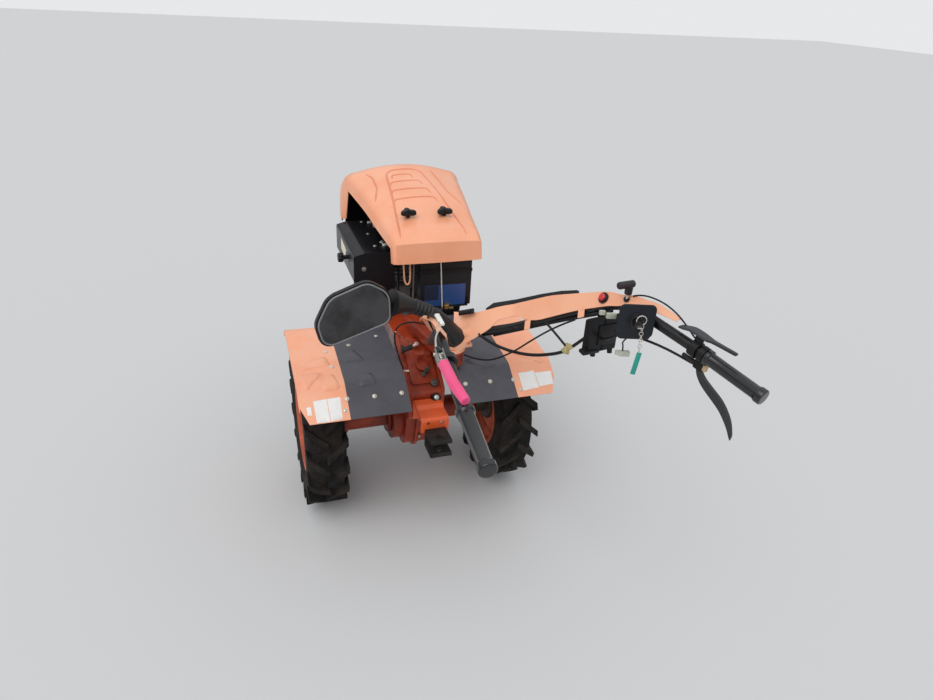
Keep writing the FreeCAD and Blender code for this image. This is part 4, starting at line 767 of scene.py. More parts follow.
class ArmRail:
    """Middle line of one handlebar tube."""

    CORNERS = ((36, -10, 714, 0), (136, -141, 784, 120), (272, -478, 993, 150),
               (320, -695, 956, 200), (354, -888, 920, 0))

    def __init__(self, side: int) -> None:
        """Lay out the line of the tube on a side, -1 left and 1 right."""
        self.side = side
        self.points = rounded_run([(Vector((side * x, y, z)), r) for x, y, z, r in self.CORNERS])
        self.lengths = [0.0]
        for near, far in zip(self.points, self.points[1:]):
            self.lengths.append(self.lengths[-1] + (far - near).length)

    def point(self, distance: float) -> Vector:
        """Point at a distance along the line."""
        for i in range(1, len(self.points)):
            if distance <= self.lengths[i] or i == len(self.points) - 1:
                run = self.lengths[i] - self.lengths[i - 1]
                return self.points[i - 1].lerp(self.points[i], (distance - self.lengths[i - 1]) / run)
        return self.points[-1]

    def spot(self, distance: float) -> Spot:
        """Place with directions at a distance along the line, also before its start."""
        heading = (self.point(max(distance, 0) + 3) - self.point(max(distance, 0) - 3)).normalized()
        inward = heading.cross(Vector((0, 0, 1))).normalized()
        return Spot(self.point(distance), heading, inward * self.side, inward.cross(heading).normalized())


# Sub-assemblies


@dataclass
class Studio:
    """Camera, lights and floor."""

    eye: tuple[float, float, float] = (-565.7, -2142.5, 1718.3)
    yaw: float = 0.35076
    pitch: float = 0.48473
    roll: float = 0.06063
    focal_px: float = 695.99
    image: tuple[int, int] = (933, 700)
    horizon: float = 0.3
    zenith: float = 0.85
    sun: float = 1.15

    def build(self) -> None:
        """Make the camera, the lights and the floor."""
        self.camera()
        self.lights()
        self.floor()

    def camera(self) -> None:
        """Camera at the photograph's viewing angle."""
        scene = bpy.context.scene
        forward = Vector((math.sin(self.yaw) * math.cos(self.pitch),
                          math.cos(self.yaw) * math.cos(self.pitch), -math.sin(self.pitch)))
        level = Vector((math.cos(self.yaw), -math.sin(self.yaw), 0))
        upright = level.cross(forward)
        right = level * math.cos(self.roll) + upright * math.sin(self.roll)
        top = upright * math.cos(self.roll) - level * math.sin(self.roll)
        data = bpy.data.cameras.new("photo_camera")
        data.sensor_fit = "HORIZONTAL"
        data.sensor_width = 36.0
        data.lens = 36.0 * self.focal_px / self.image[0]
        data.clip_start, data.clip_end = 0.05, 100.0
        eye = bpy.data.objects.new("photo_camera", data)
        scene.collection.objects.link(eye)
        eye.matrix_world = (Matrix.Translation(mm(*self.eye))
                            @ Matrix((right, top, -forward)).transposed().to_4x4())
        scene.camera = eye
        scene.view_settings.view_transform = "Standard"

    def lights(self) -> None:
        """Overcast daylight, brighter overhead than at the horizon, and one broad sun."""
        world = bpy.data.worlds.new("daylight")
        bpy.context.scene.world = world
        world.use_nodes = True
        tree = world.node_tree
        sky = tree.nodes["Background"]
        sky.inputs["Color"].default_value = (0.93, 0.96, 1.0, 1)
        around = tree.nodes.new("ShaderNodeTexCoord")
        split = tree.nodes.new("ShaderNodeSeparateXYZ")
        rise = tree.nodes.new("ShaderNodeMapRange")
        rise.interpolation_type = "SMOOTHSTEP"
        rise.inputs["From Min"].default_value = -0.1
        rise.inputs["From Max"].default_value = 0.75
        rise.inputs["To Min"].default_value = self.horizon
        rise.inputs["To Max"].default_value = self.zenith
        tree.links.new(around.outputs["Generated"], split.inputs[0])
        tree.links.new(split.outputs["Z"], rise.inputs["Value"])
        tree.links.new(rise.outputs["Result"], sky.inputs["Strength"])
        seen = tree.nodes.new("ShaderNodeBackground")
        seen.inputs["Color"].default_value = (0.80, 0.81, 0.82, 1)
        seen.inputs["Strength"].default_value = 1.0
        rays = tree.nodes.new("ShaderNodeLightPath")
        pick = tree.nodes.new("ShaderNodeMixShader")
        tree.links.new(rays.outputs["Is Camera Ray"], pick.inputs[0])
        tree.links.new(sky.outputs[0], pick.inputs[1])
        tree.links.new(seen.outputs[0], pick.inputs[2])
        tree.links.new(pick.outputs[0], tree.nodes["World Output"].inputs[0])
        lamp = bpy.data.lights.new("broad_sun", "SUN")
        lamp.energy = self.sun
        lamp.angle = math.radians(50)
        lamp.color = (1.0, 0.98, 0.95)
        sun = bpy.data.objects.new("broad_sun", lamp)
        bpy.context.scene.collection.objects.link(sun)
        sun.rotation_euler = (math.radians(24), math.radians(-28), 0)

    def floor(self) -> None:
        """Wide pale floor at the ground."""
        bm = bmesh.new()
        bmesh.ops.create_grid(bm, x_segments=1, y_segments=1, size=30.0)
        floor = finish_mesh(bm, "studio_floor")
        material = bpy.data.materials.new("pale_floor")
        material.use_nodes = True
        shader = material.node_tree.nodes["Principled BSDF"]
        shader.inputs["Base Color"].default_value = (0.62, 0.62, 0.62, 1)
        shader.inputs["Roughness"].default_value = 0.9
        floor.data.materials.append(material)


@dataclass
class Wheels:
    """Tyres, rims, hubs and their nuts."""

    maker: Maker
    track_half: float = 338.0
    axle_z: float = 284.0
    stud_ring: float = 48.0
    disc_out: float = 22.0

    def build(self) -> None:
        """Dress both wheels."""
        for side, sign in (("left", -1), ("right", 1)):
            self.maker.skin(f"tyre_{side}", "tyre_rubber", 2.0, 34)
            self.maker.skin(f"rim_{side}", "rim_paint", 0.6)
            self.maker.skin(f"hub_{side}", "hub_iron", 0.8)
            self.nuts(side, sign)

    def nuts(self, side: str, sign: int) -> None:
        """Wheel nuts over the studs."""
        bm = bmesh.new()
        axis = Vector((sign, 0, 0))
        face = sign * (self.track_half - self.disc_out)
        for i in range(5):
            angle = math.radians(72 * i)
            at = mm(face, self.stud_ring * math.sin(angle), self.axle_z + self.stud_ring * math.cos(angle))
            hex_bolt(bm, placed(at, axis), 17)
        self.maker.keep(finish_mesh(bm, f"wheel_nuts_{side}"), "zinc", f"wheel_{side}")


@dataclass
class Driveline:
    """Gearbox, axle tubes, hitch and the fittings on them."""

    maker: Maker
    case_half: float = 60.0

    def build(self) -> None:
        """Make the castings and their fittings."""
        self.gearbox()
        for node in ("gearbox_cover", "axle_tubes", "column_base", "clutch_housing"):
            self.maker.skin(node, "casting_orange", 2.0)
        self.maker.skin("hitch_bracket", "hitch_orange", 0.8)
        self.maker.skin("hitch_jaw", "frame_black", 1.2)
        self.pins()
        self.caps()
        self.cables()

    def slab(self, bm: bmesh.types.BMesh, corners: list[tuple[float, float, float]], low: float,
             high: float) -> None:
        """Add a rounded outline in the YZ plane, pushed from one x to another."""
        ring = closed_run([(Vector((y, z, 0)), r) for y, z, r in corners])
        add_loft(bm, [[mm(x, p.x, p.y) for p in ring] for x in (low, high)])

    def gearbox(self) -> None:
        """Gearbox casting: an upper and a narrower lower case with the flange that joins them."""
        half = self.case_half
        bm = bmesh.new()
        upper = [(130, 374, 30), (-118, 374, 20), (-232, 398, 22), (-232, 498, 18), (-52, 622, 34),
                 (124, 622, 22), (150, 560, 40), (150, 400, 20)]
        lower = [(110, 186, 78), (-96, 186, 70), (-134, 350, 30), (-100, 430, 4), (110, 430, 4)]
        flange = [(119, 177, 84), (-105, 177, 76), (-145, 356, 30), (-110, 440, 4), (119, 440, 4)]
        ribs = [(-228, 428, 10), (-234, 510, 10), (-50, 634, 20), (-20, 634, 8), (-20, 582, 4)]
        self.slab(bm, upper, -half, half)
        self.slab(bm, lower, -0.68 * half, 0.68 * half)
        self.slab(bm, flange, -6, 6)
        for sign in (-1, 1):
            middle = sign * (half - 1)
            self.slab(bm, ribs, middle - 6, middle + 6)
        neck = [(130, 404, 20), (321.7, 440, 4), (321.7, 600, 4), (130, 586, 20)]
        self.slab(bm, neck, -half, 0.4 * half)
        drum = placed(mm(0, 0, 284), Vector((1, 0, 0)))
        add_ring(bm, drum, 48, -half - 18, half + 18, 92)
        piece = finish_mesh(bm, "gearbox_casting", 32)
        soften(piece, 2.5, 2, 32)
        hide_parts("gearbox")
        self.maker.keep(piece, "casting_orange", frame["nodes"]["gearbox"]["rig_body"])
        bolts = bmesh.new()
        for y, z in ((-120, 250), (-60, 168 + 24), (30, 192), (112, 300), (-128, 330)):
            hex_bolt(bolts, placed(mm(6, y, z), Vector((1, 0, 0))), 12)
        self.maker.keep(finish_mesh(bolts, "gearbox_bolts"), "dull_zinc", "chassis")

    def pins(self) -> None:
        """Plated selector pins, nuts and studs on the rear of the case."""
        bm = bmesh.new()
        add_ring(bm, placed(mm(-40, -100, 606), Vector((1, 0, 0.1))), 16, -8, 34, 4.5)
        add_ring(bm, placed(mm(-14, -104, 600), Vector((0, -0.5, 1))), 16, -8, 26, 3.5)
        add_ring(bm, placed(mm(-2, -98, 612), Vector((0, -0.4, 1))), 16, 0, 9, 8)
        hex_bolt(bm, placed(mm(-61, -158, 548), Vector((-1, 0, 0))), 12, 6)
        add_ring(bm, placed(mm(-60, -163, 552), Vector((1, 0, 0))), 16, -2, 16, 5)
        hex_bolt(bm, placed(mm(-70, -160, 519), Vector((-0.35, -0.7, 0.6))), 17, 7)
        self.maker.keep(finish_mesh(bm, "selector_pins"), "zinc", "chassis")
        bm = bmesh.new()
        block(bm, placed(mm(-40, -132, 622), Vector((-0.2, -0.6, 0.8)), Vector((1, 0.2, 0))), 34, 16, 8, 2)
        block(bm, placed(mm(-56, -120, 612), Vector((-0.2, -0.6, 0.8)), Vector((0.2, 1, 0.3))), 30, 10, 8, 2)
        self.maker.keep(finish_mesh(bm, "selector_bracket"), "black_plastic", "chassis")

    def caps(self) -> None:
        """Round plugs on the slope of the cover and the black cap over the hitch."""
        slope = Vector((0, -0.57, 0.82))
        bm = bmesh.new()
        for x, y, z, radius in ((12, -178, 560, 12), (2, -186, 545, 8), (34, -208, 522, 13)):
            place = placed(mm(x, y, z), slope)
            add_ring(bm, place, 28, -8, 4, radius)
            add_ring(bm, place, 6, 4, 9, radius * 0.5)
        self.maker.keep(finish_mesh(bm, "case_plugs"), "hub_iron", "chassis")
        bm = bmesh.new()
        place = placed(mm(30, -244, 484), Vector((0.1, -0.75, 0.65)))
        add_ring(bm, place, 36, -8, 9, 17, 15)
        self.maker.keep(finish_mesh(bm, "hitch_cap"), "black_plastic", "chassis")
        bm = bmesh.new()
        hex_bolt(bm, place @ Matrix.Translation((0, 0, 9 * MM)), 10, 3)
        self.maker.keep(finish_mesh(bm, "hitch_cap_bolt"), "zinc", "chassis")

    def cables(self) -> None:
        """Cables that arch from under the swivel down to the case."""
        arch = [mm(33, -150, 706), mm(-25, -160, 736), mm(-80, -160, 728), mm(-95, -160, 695),
                mm(-88, -160, 640), mm(-62, -160, 562)]
        self.maker.cable("selector_cable", arch, 2.6, "cable_sheath", "chassis")
        self.maker.cable("selector_core", [mm(-92, -166, 706), mm(-60, -140, 668), mm(-30, -112, 634),
                                           mm(-12, -104, 610)], 1.6, "zinc", "chassis")


@dataclass
class Fenders:
    """Both fenders with their pressed shapes, bolts and bare labels."""

    maker: Maker

    EMBOSSES = {
        "fender_outer_left": (
            ((-415, -180), (-364, -123), (-312, -113), (-304, -166)),
            ((-414, -202), (-330, -196), (-398, -284)),
            ((-306, -196), (-354, -281), (-290, -281))),
        "fender_inner_left": (
            ((-219, -80), (-269, -158), (-188, -160)),
            ((-189, -216), (-247, -283), (-172, -277))),
        "fender_outer_right": (
            ((296, -196), (386, -185), (402, -284), (330, -240)),),
        "fender_inner_right": (
            ((126, -120), (212, -110), (180, -170)),
            ((120, -214), (178, -272), (232, -268), (240, -214))),
    }
    LABELS = {
        "fender_outer_left": (
            ((-410, -309), (-382, -307), (-382, -353), (-408, -352)),
            ((-380, -304), (-339, -302), (-338, -365), (-378, -364)),
            ((-337, -302), (-297, -301), (-300, -361), (-336, -364))),
        "fender_outer_right": (
            ((299, -295), (356, -293), (358, -345), (300, -349)),
            ((357, -300), (417, -300), (412, -340), (360, -343))),
    }
    BOLTS = {
        "fender_outer_left": ((-308, -87), (-301, -175), (-289, -340), (-278, -309)),
        "fender_inner_left": ((-192, -311), (-105, -311), (-126, -23), (-228, -62)),
        "fender_outer_right": ((276, -313), (292, -345)),
        "fender_inner_right": ((194, -310), (109, -308)),
    }

    def build(self) -> None:
        """Make the fenders' pieces."""
        for side in ("left", "right"):
            self.maker.skin(f"fender_inner_{side}", "fender_black", 0.5)
            self.maker.skin(f"fender_outer_{side}", "fender_orange", 0.5)
        self.maker.skin("fender_straps", "frame_black", 0.6)
        for node, shapes in self.EMBOSSES.items():
            finish = "fender_orange" if "outer" in node else "fender_black"
            self.patches(node, "pressed", shapes, finish, 2.8, 3.5, 9.0)
        for node, shapes in self.LABELS.items():
            self.patches(node, "label", shapes, "label_white", 0.5, 0.4, 1.5)
        for node, spots in self.BOLTS.items():
            surface = self.maker.surface(node)
            bm = bmesh.new()
            for x, y in spots:
                found = surface.ray_cast(mm(x, y, 900), Vector((0, 0, -1)))
                if found[0] is not None:
                    dome_bolt(bm, placed(found[0], found[1]), 5.5)
            self.maker.keep(finish_mesh(bm, f"{node}_bolts"), "zinc", frame["nodes"][node]["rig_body"])

    def patches(self, node: str, kind: str, shapes: tuple, finish: str, rise: float, slope: float,
                corner: float) -> None:
        """Raise flat-topped patches that follow a fender's surface.

        Args:
            node: The fender's node.
            kind: Word for the piece's name.
            shapes: Corners of each patch, x and y in millimetres.
            finish: Finish of the patches.
            rise: Height over the sheet.
            slope: Width of the sloped edge.
            corner: Radius of the rounded corners.
        """
        surface = self.maker.surface(node)
        bm = bmesh.new()
        for shape in shapes:
            run = closed_run([(Vector((x, y, 0)), corner) for x, y in shape])
            ring = []
            for near, far in zip(run, [*run[1:], run[0]]):
                count = max(1, round((far - near).length / 8))
                ring += [near.lerp(far, k / count) for k in range(count)]
            middle = sum(ring, Vector()) / len(ring)
            rows = []
            for width, share, height in ((0, 0, -0.3), (slope, 0, rise), (slope, 0.5, rise),
                                         (slope, 0.8, rise), (slope, 0.97, rise)):
                row = []
                for place in ring:
                    reach = max((place - middle).length, 1.0)
                    spot = place.lerp(middle, max(share, min(0.5, width / reach)))
                    found = surface.ray_cast(mm(spot.x, spot.y, 900), Vector((0, 0, -1)))
                    if found[0] is not None:
                        outward = found[1] if found[1].z > 0 else -found[1]
                        row.append(bm.verts.new(found[0] + outward * height * MM))
                if len(row) == len(ring):
                    rows.append(row)
            for outer, inner in zip(rows, rows[1:]):
                for i in range(len(outer)):
                    k = (i + 1) % len(outer)
                    bm.faces.new((outer[i], outer[k], inner[k], inner[i]))
            if rows:
                bm.faces.new(rows[-1])
        self.maker.keep(finish_mesh(bm, f"{node}_{kind}", 60), finish, frame["nodes"][node]["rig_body"])


@dataclass
class EngineBay:
    """Frame, bumper, stand and engine."""

    maker: Maker

    def build(self) -> None:
        """Dress the engine's pieces."""
        for node, finish, edge in (
                ("engine_frame", "frame_black", 1.0), ("bumper", "arm_paint", 0),
                ("front_stand", "arm_paint", 0), ("engine_block", "aluminium_cast", 2.0),
                ("engine_cylinder", "aluminium_cast", 0.8), ("fan_shroud", "gloss_black", 2.0),
                ("fuel_tank", "gloss_black", 3.0), ("muffler", "scorched_steel", 0.8)):
            self.maker.skin(node, finish, edge)


@dataclass
class HoodBay:
    """Hood, its supports, battery and side housing."""

    maker: Maker
    middle: float = 130.0
    flare: float = 0.07
    skirt: float = 832.0
    knob_y: float = 236.0
    knob_z: float = 970.0
    knob_x: tuple[float, float] = (48.0, 184.0)

    TOP = (
        # y, z, lean, half width, side drop, crown, corner radius
        (94, 833, 82, 167, 30, 6, 20), (108, 900, 55, 167, 34, 8, 24), (150, 928, 18, 171, 44, 12, 34),
        (280, 955, 12, 187, 48, 17, 42), (400, 986, 10, 202, 54, 22, 48), (604, 1018, 3, 230, 58, 28, 54),
    )
    NOSE = (
        # y, z, half width, crown, corner radius
        (612, 1020, 232, 28, 54), (652, 1021, 238, 28, 54), (704, 1000, 245, 24, 48),
        (736, 944, 250, 18, 40), (744, 838, 252, 10, 30),
    )
    BEADS = (
        ((-4, 132, 0), (19, 331, 300), (44, 592, 46), (181, 592, 46), (223, 285, 300), (238, 130, 0)),
        ((55, 515, 0), (61, 547, 12), (133, 545, 12), (138, 511, 0)),
        ((38, 461, 0), (44, 488, 12), (155, 487, 12), (163, 452, 0)),
        ((27, 393, 0), (31, 422, 12), (168, 419, 12), (176, 380, 0)),
        ((20, 330, 0), (25, 358, 12), (180, 356, 12), (188, 326, 0)),
        ((-32, 610, 0), (-14, 563, 60), (-14, 475, 60), (-40, 380, 0)),
        ((232, 599, 0), (240, 510, 100), (250, 407, 80), (290, 325, 0)),
    )

    def build(self) -> None:
        """Make the hood and what it covers."""
        self.hood()
        self.knobs()
        self.battery()
        self.housing()
        for node, finish, edge in (
                ("hood_supports", "frame_black", 0.8), ("battery_tray", "frame_black", 0.8),
                ("battery_clamp", "dull_zinc", 0.6)):
            self.maker.skin(node, finish, edge)

    def section(self, row: list[float], outer: float = 0.0, inner: float = 3.0) -> list[Vector]:
        """Closed ring at one station of the hood, between two depths under its outer face."""
        y, z, lean, half, drop, crown, corner = row
        angle = math.radians(lean)
        up = Vector((0, -math.sin(angle), math.cos(angle)))

        def arch(inset: float) -> list[tuple[float, float]]:
            wide, turn = half - inset, corner - inset
            left = [(-wide - self.flare * drop, -drop)]
            for i in range(7):
                a = math.radians(180 - 90 * i / 6)
                left.append((-wide + turn + turn * math.cos(a), -corner + turn * math.sin(a)))
            chord = wide - turn
            radius = (chord * chord + crown * crown) / (2 * crown)
            reach = math.asin(chord / radius)
            top = [(radius * math.sin(reach * t / 8), crown - inset - radius
                    + radius * math.cos(reach * t / 8)) for t in range(-7, 8)]
            return left + top + [(-a, b) for a, b in left[::-1]]
        ring = arch(outer) + arch(inner)[::-1]
        return [Vector((self.middle + a, y, z)) * MM + up * b * MM for a, b in ring]

    def hood(self) -> None:
        """Hood sheet with its raised beads, and near-black sheets of painted shade inside it."""
        rows = [list(row) for row in self.TOP[:2]] + smooth_rows(self.TOP[2:], 6)
        low_y = self.NOSE[0][0]
        nose = []
        for y, z, half, crown, corner in self.NOSE:
            lean = -math.degrees(math.atan2(y - low_y, z - self.skirt))
            nose.append((y, z, lean, half, math.hypot(y - low_y, z - self.skirt) - 12, crown, corner))
        rows += smooth_rows(tuple(nose), 5)
        bm = bmesh.new()
        add_loft(bm, [self.section(row) for row in rows])
        bm.normal_update()
        surface = BVHTree.FromBMesh(bm)
        piece = finish_mesh(bm, "hood_shell", 40)
        soften(piece, 0.9, 2, 40)
        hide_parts("hood")
        self.maker.keep(piece, "hood_paint", frame["nodes"]["hood"]["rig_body"])
        # Near-black sheet lining the hood's underside: painted shade for the hood's dark inside.
        bm = bmesh.new()
        add_loft(bm, [self.section(row, 3.2, 6.0) for row in rows[2:-1]])
        self.maker.keep(finish_mesh(bm, "hood_underside_painted_shade", 40), "housing_black", "chassis")
        # Near-black plate inside the nose, reaching below it: painted shade that fills the gap under the nose.
        bm = bmesh.new()
        guard = [(-228, -96), (228, -96), (228, 50), (210, 66), (-210, 66), (-228, 50)]
        plate(bm, placed(mm(self.middle, 727, 872), Vector((0, -1, 0)), Vector((1, 0, 0))), guard, 2)
        self.maker.keep(finish_mesh(bm, "nose_painted_shade_plate"), "housing_black", "chassis")
        bm = bmesh.new()
        for corners in self.BEADS:
            self.bead(bm, surface, corners)
        # The beads' darker finish is painted shade along them.
        self.maker.keep(finish_mesh(bm, "hood_beads", 60), "shade_painted_bead", "chassis")

    @staticmethod
    def bead(bm: bmesh.types.BMesh, surface: BVHTree, corners: tuple, wide: float = 7.5,
             high: float = 2.6) -> None:
        """Raise a bead along a path over the hood."""
        path = rounded_run([(Vector((x, y, 0)), r) for x, y, r in corners], 8)
        dense = [path[0]]
        for far in path[1:]:
            count = max(1, round((far - dense[-1]).length / 12))
            start = dense[-1]
            dense += [start.lerp(far, (i + 1) / count) for i in range(count)]
        rings = []
        for i, place in enumerate(dense):
            heading = (dense[min(i + 1, len(dense) - 1)] - dense[max(i - 1, 0)]).normalized()
            across = Vector((heading.y, -heading.x, 0))
            ring = []
            taper = min(1.0, 0.3 + 0.35 * min(i, len(dense) - 1 - i))
            for off, lift in ((-0.5, -0.8), (-0.5, 0.05), (-0.16, high), (0.16, high), (0.5, 0.05),
                              (0.5, -0.8)):
                spot = place + across * off * wide * taper
                found = surface.ray_cast(mm(spot.x, spot.y, 1200), Vector((0, 0, -1)))
                if found[0] is not None:
                    outward = found[1] if found[1].z > 0 else -found[1]
                    ring.append(found[0] + outward * lift * taper * MM)
            if len(ring) == 6:
                rings.append(ring)
        add_loft(bm, rings)

    def knobs(self) -> None:
        """Three-lobed knobs on the hood and the round one on the housing."""
        bm = bmesh.new()
        for x in self.knob_x:
            outline = []
            for i in range(48):
                angle = 2 * math.pi * i / 48
                lobe = (0.5 + 0.5 * math.cos(3 * (angle - math.pi / 2))) ** 1.3
                reach = 13 + 19 * lobe
                outline.append((reach * math.cos(angle), reach * math.sin(angle)))
            place = Matrix.Translation(mm(x, self.knob_y, self.knob_z))
            rings = [[place @ (Vector((a * k, b * k, h)) * MM) for a, b in outline]
                     for k, h in ((0.78, -3), (1.0, 1), (1.0, 11), (0.84, 16))]
            add_loft(bm, rings)
            add_ring(bm, place, 24, -9, 3, 9, 11)
            add_ring(bm, place, 20, -24, -6, 4)
            add_ring(bm, place, 20, 15, 18, 9, 7)
        turn = placed(mm(-156.3, 365, 772), Vector((-1, 0, 0)))
        add_ring(bm, turn, 24, -4, 16, 8)
        points = []
        for i in range(40):
            angle = 2 * math.pi * i / 40
            reach = 18 + 1.4 * math.cos(8 * angle)
            points.append((reach * math.cos(angle), reach * math.sin(angle)))
        add_loft(bm, [[turn @ (Vector((a * k, b * k, h)) * MM) for a, b in points]
                      for k, h in ((0.9, 14), (1.0, 17), (1.0, 28), (0.84, 33))])
        piece = finish_mesh(bm, "clamping_knobs", 40)
        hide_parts("clamp_knobs")
        self.maker.keep(piece, "black_plastic", "chassis")

    def battery(self) -> None:
        """Battery with its lid, posts, bare label and hold-down rod."""
        bm = bmesh.new()
        middle = mm(176, 214, 0)
        up = Vector((0, 0, 1))
        for wide, deep, low, high, edge in ((200, 128, 633, 768, 3), (203, 131, 766, 780, 2),
                                            (200, 128, 778, 809, 4), (150, 30, 808, 813, 1.5)):
            block(bm, placed(middle + up * (low + high) / 2 * MM, up), wide, deep, high - low, edge)
        for i in range(24):
            block(bm, placed(mm(84 + 8 * i, 148.4, 773), up), 2, 2, 10)
        piece = finish_mesh(bm, "battery_case", 35)
        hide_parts("battery")
        self.maker.keep(piece, "battery_plastic", "chassis")
        posts = bmesh.new()
        for x in (100, 252):
            add_ring(posts, placed(mm(x, 236, 809), up), 20, 0, 10, 9, 8)
        self.maker.keep(finish_mesh(posts, "battery_posts"), "dull_zinc", "chassis")
        rear = placed(mm(176, 150, 678), Vector((0, -1, 0)), Vector((1, 0, 0)))
        bm = bmesh.new()
        plate(bm, rear @ Matrix.Translation((-1.5 * MM, 0, 0)), rounded(159, 84, 3), 0.5)
        self.maker.keep(finish_mesh(bm, "battery_label"), "label_blue", "chassis")
        bm = bmesh.new()
        plate(bm, rear @ Matrix.Translation((-54 * MM, 12 * MM, 0.5 * MM)), rounded(52, 58, 2), 0.3)
        self.maker.keep(finish_mesh(bm, "battery_label_dark"), "label_dark", "chassis")
        self.maker.cable("hold_down_rod", [mm(150, 145, 832), mm(155, 145, 760), mm(163, 145, 632)], 2.4,
                         "pale_strap", "chassis")
        bm = bmesh.new()
        foot = placed(mm(178, 140, 634), up)
        add_ring(bm, foot, 20, -6, 8, 9)
        add_ring(bm, foot, 6, 8, 14, 8)
        block(bm, placed(mm(196, 138, 630), up), 16, 12, 8, 1)
        self.maker.keep(finish_mesh(bm, "rod_foot"), "brass", "chassis")
        hook = [mm(12, 150, 826), mm(14, 146, 760), mm(20, 145, 736), mm(32, 145, 734), mm(38, 146, 756),
                mm(36, 150, 822)]
        self.maker.cable("strap_hook", hook, 3.2, "bar_orange", "chassis")

    def housing(self) -> None:
        """Side housing, its bolts, its bare label and the pale strips beside it, whose near-white is painted glint.
        """
        def grown(point: Vector) -> Vector:
            lift = 8 if point.z > 0.8 else 28 if point.x < -0.13 and point.z > 0.75 else 0
            return point + mm(-4 if point.x < -0.13 else 0, 0, lift)

        self.maker.skin("side_housing", "housing_black", 2.5, 32, grown)
        surface = [((-57, 577, 838), (0, 0, 1)), ((-61, 425, 838), (0, 0, 1)), ((-63, 286, 838), (0, 0, 1)),
                   ((-119, 215, 778), (0, -1, 0))]
        bm = bmesh.new()
        for at, normal in surface:
            dome_bolt(bm, placed(mm(*at), Vector(normal)), 6.5)
        self.maker.keep(finish_mesh(bm, "housing_bolts"), "dull_zinc", "chassis")
        bm = bmesh.new()
        left = placed(mm(-156, 428, 784), Vector((-1, 0, 0)), Vector((0, 1, 0)))
        plate(bm, left, [(-60, -14), (58, -24), (58, 20), (-30, 24)], 0.5)
        self.maker.keep(finish_mesh(bm, "housing_label"), "label_cream", "chassis")
        # Near-white strips on the housing top: painted glints of metal under the hood's left opening.
        bm = bmesh.new()
        up = Vector((0, 0, 1))
        block(bm, placed(mm(-18, 520, 846), Vector((0.3, 0, 1)), Vector((0.2, 1, 0))), 90, 10, 3, 0.8)
        block(bm, placed(mm(-30, 556, 842), up), 16, 12, 8, 1.5)
        block(bm, placed(mm(-30, 316, 842), Vector((0.5, 0, 1)), Vector((0.5, 1, 0))), 42, 12, 3, 0.8)
        block(bm, placed(mm(-22, 284, 842), up, Vector((1, 0.4, 0))), 26, 14, 8, 1.5)
        self.maker.keep(finish_mesh(bm, "pale_glint_strips"), "pale_strap", "chassis")
        self.maker.cable("breather_tube", [mm(-150, 232, 700), mm(-168, 214, 690), mm(-172, 214, 668),
                                           mm(-150, 226, 650), mm(-120, 232, 650)], 6, "boot_rubber",
                         "chassis")


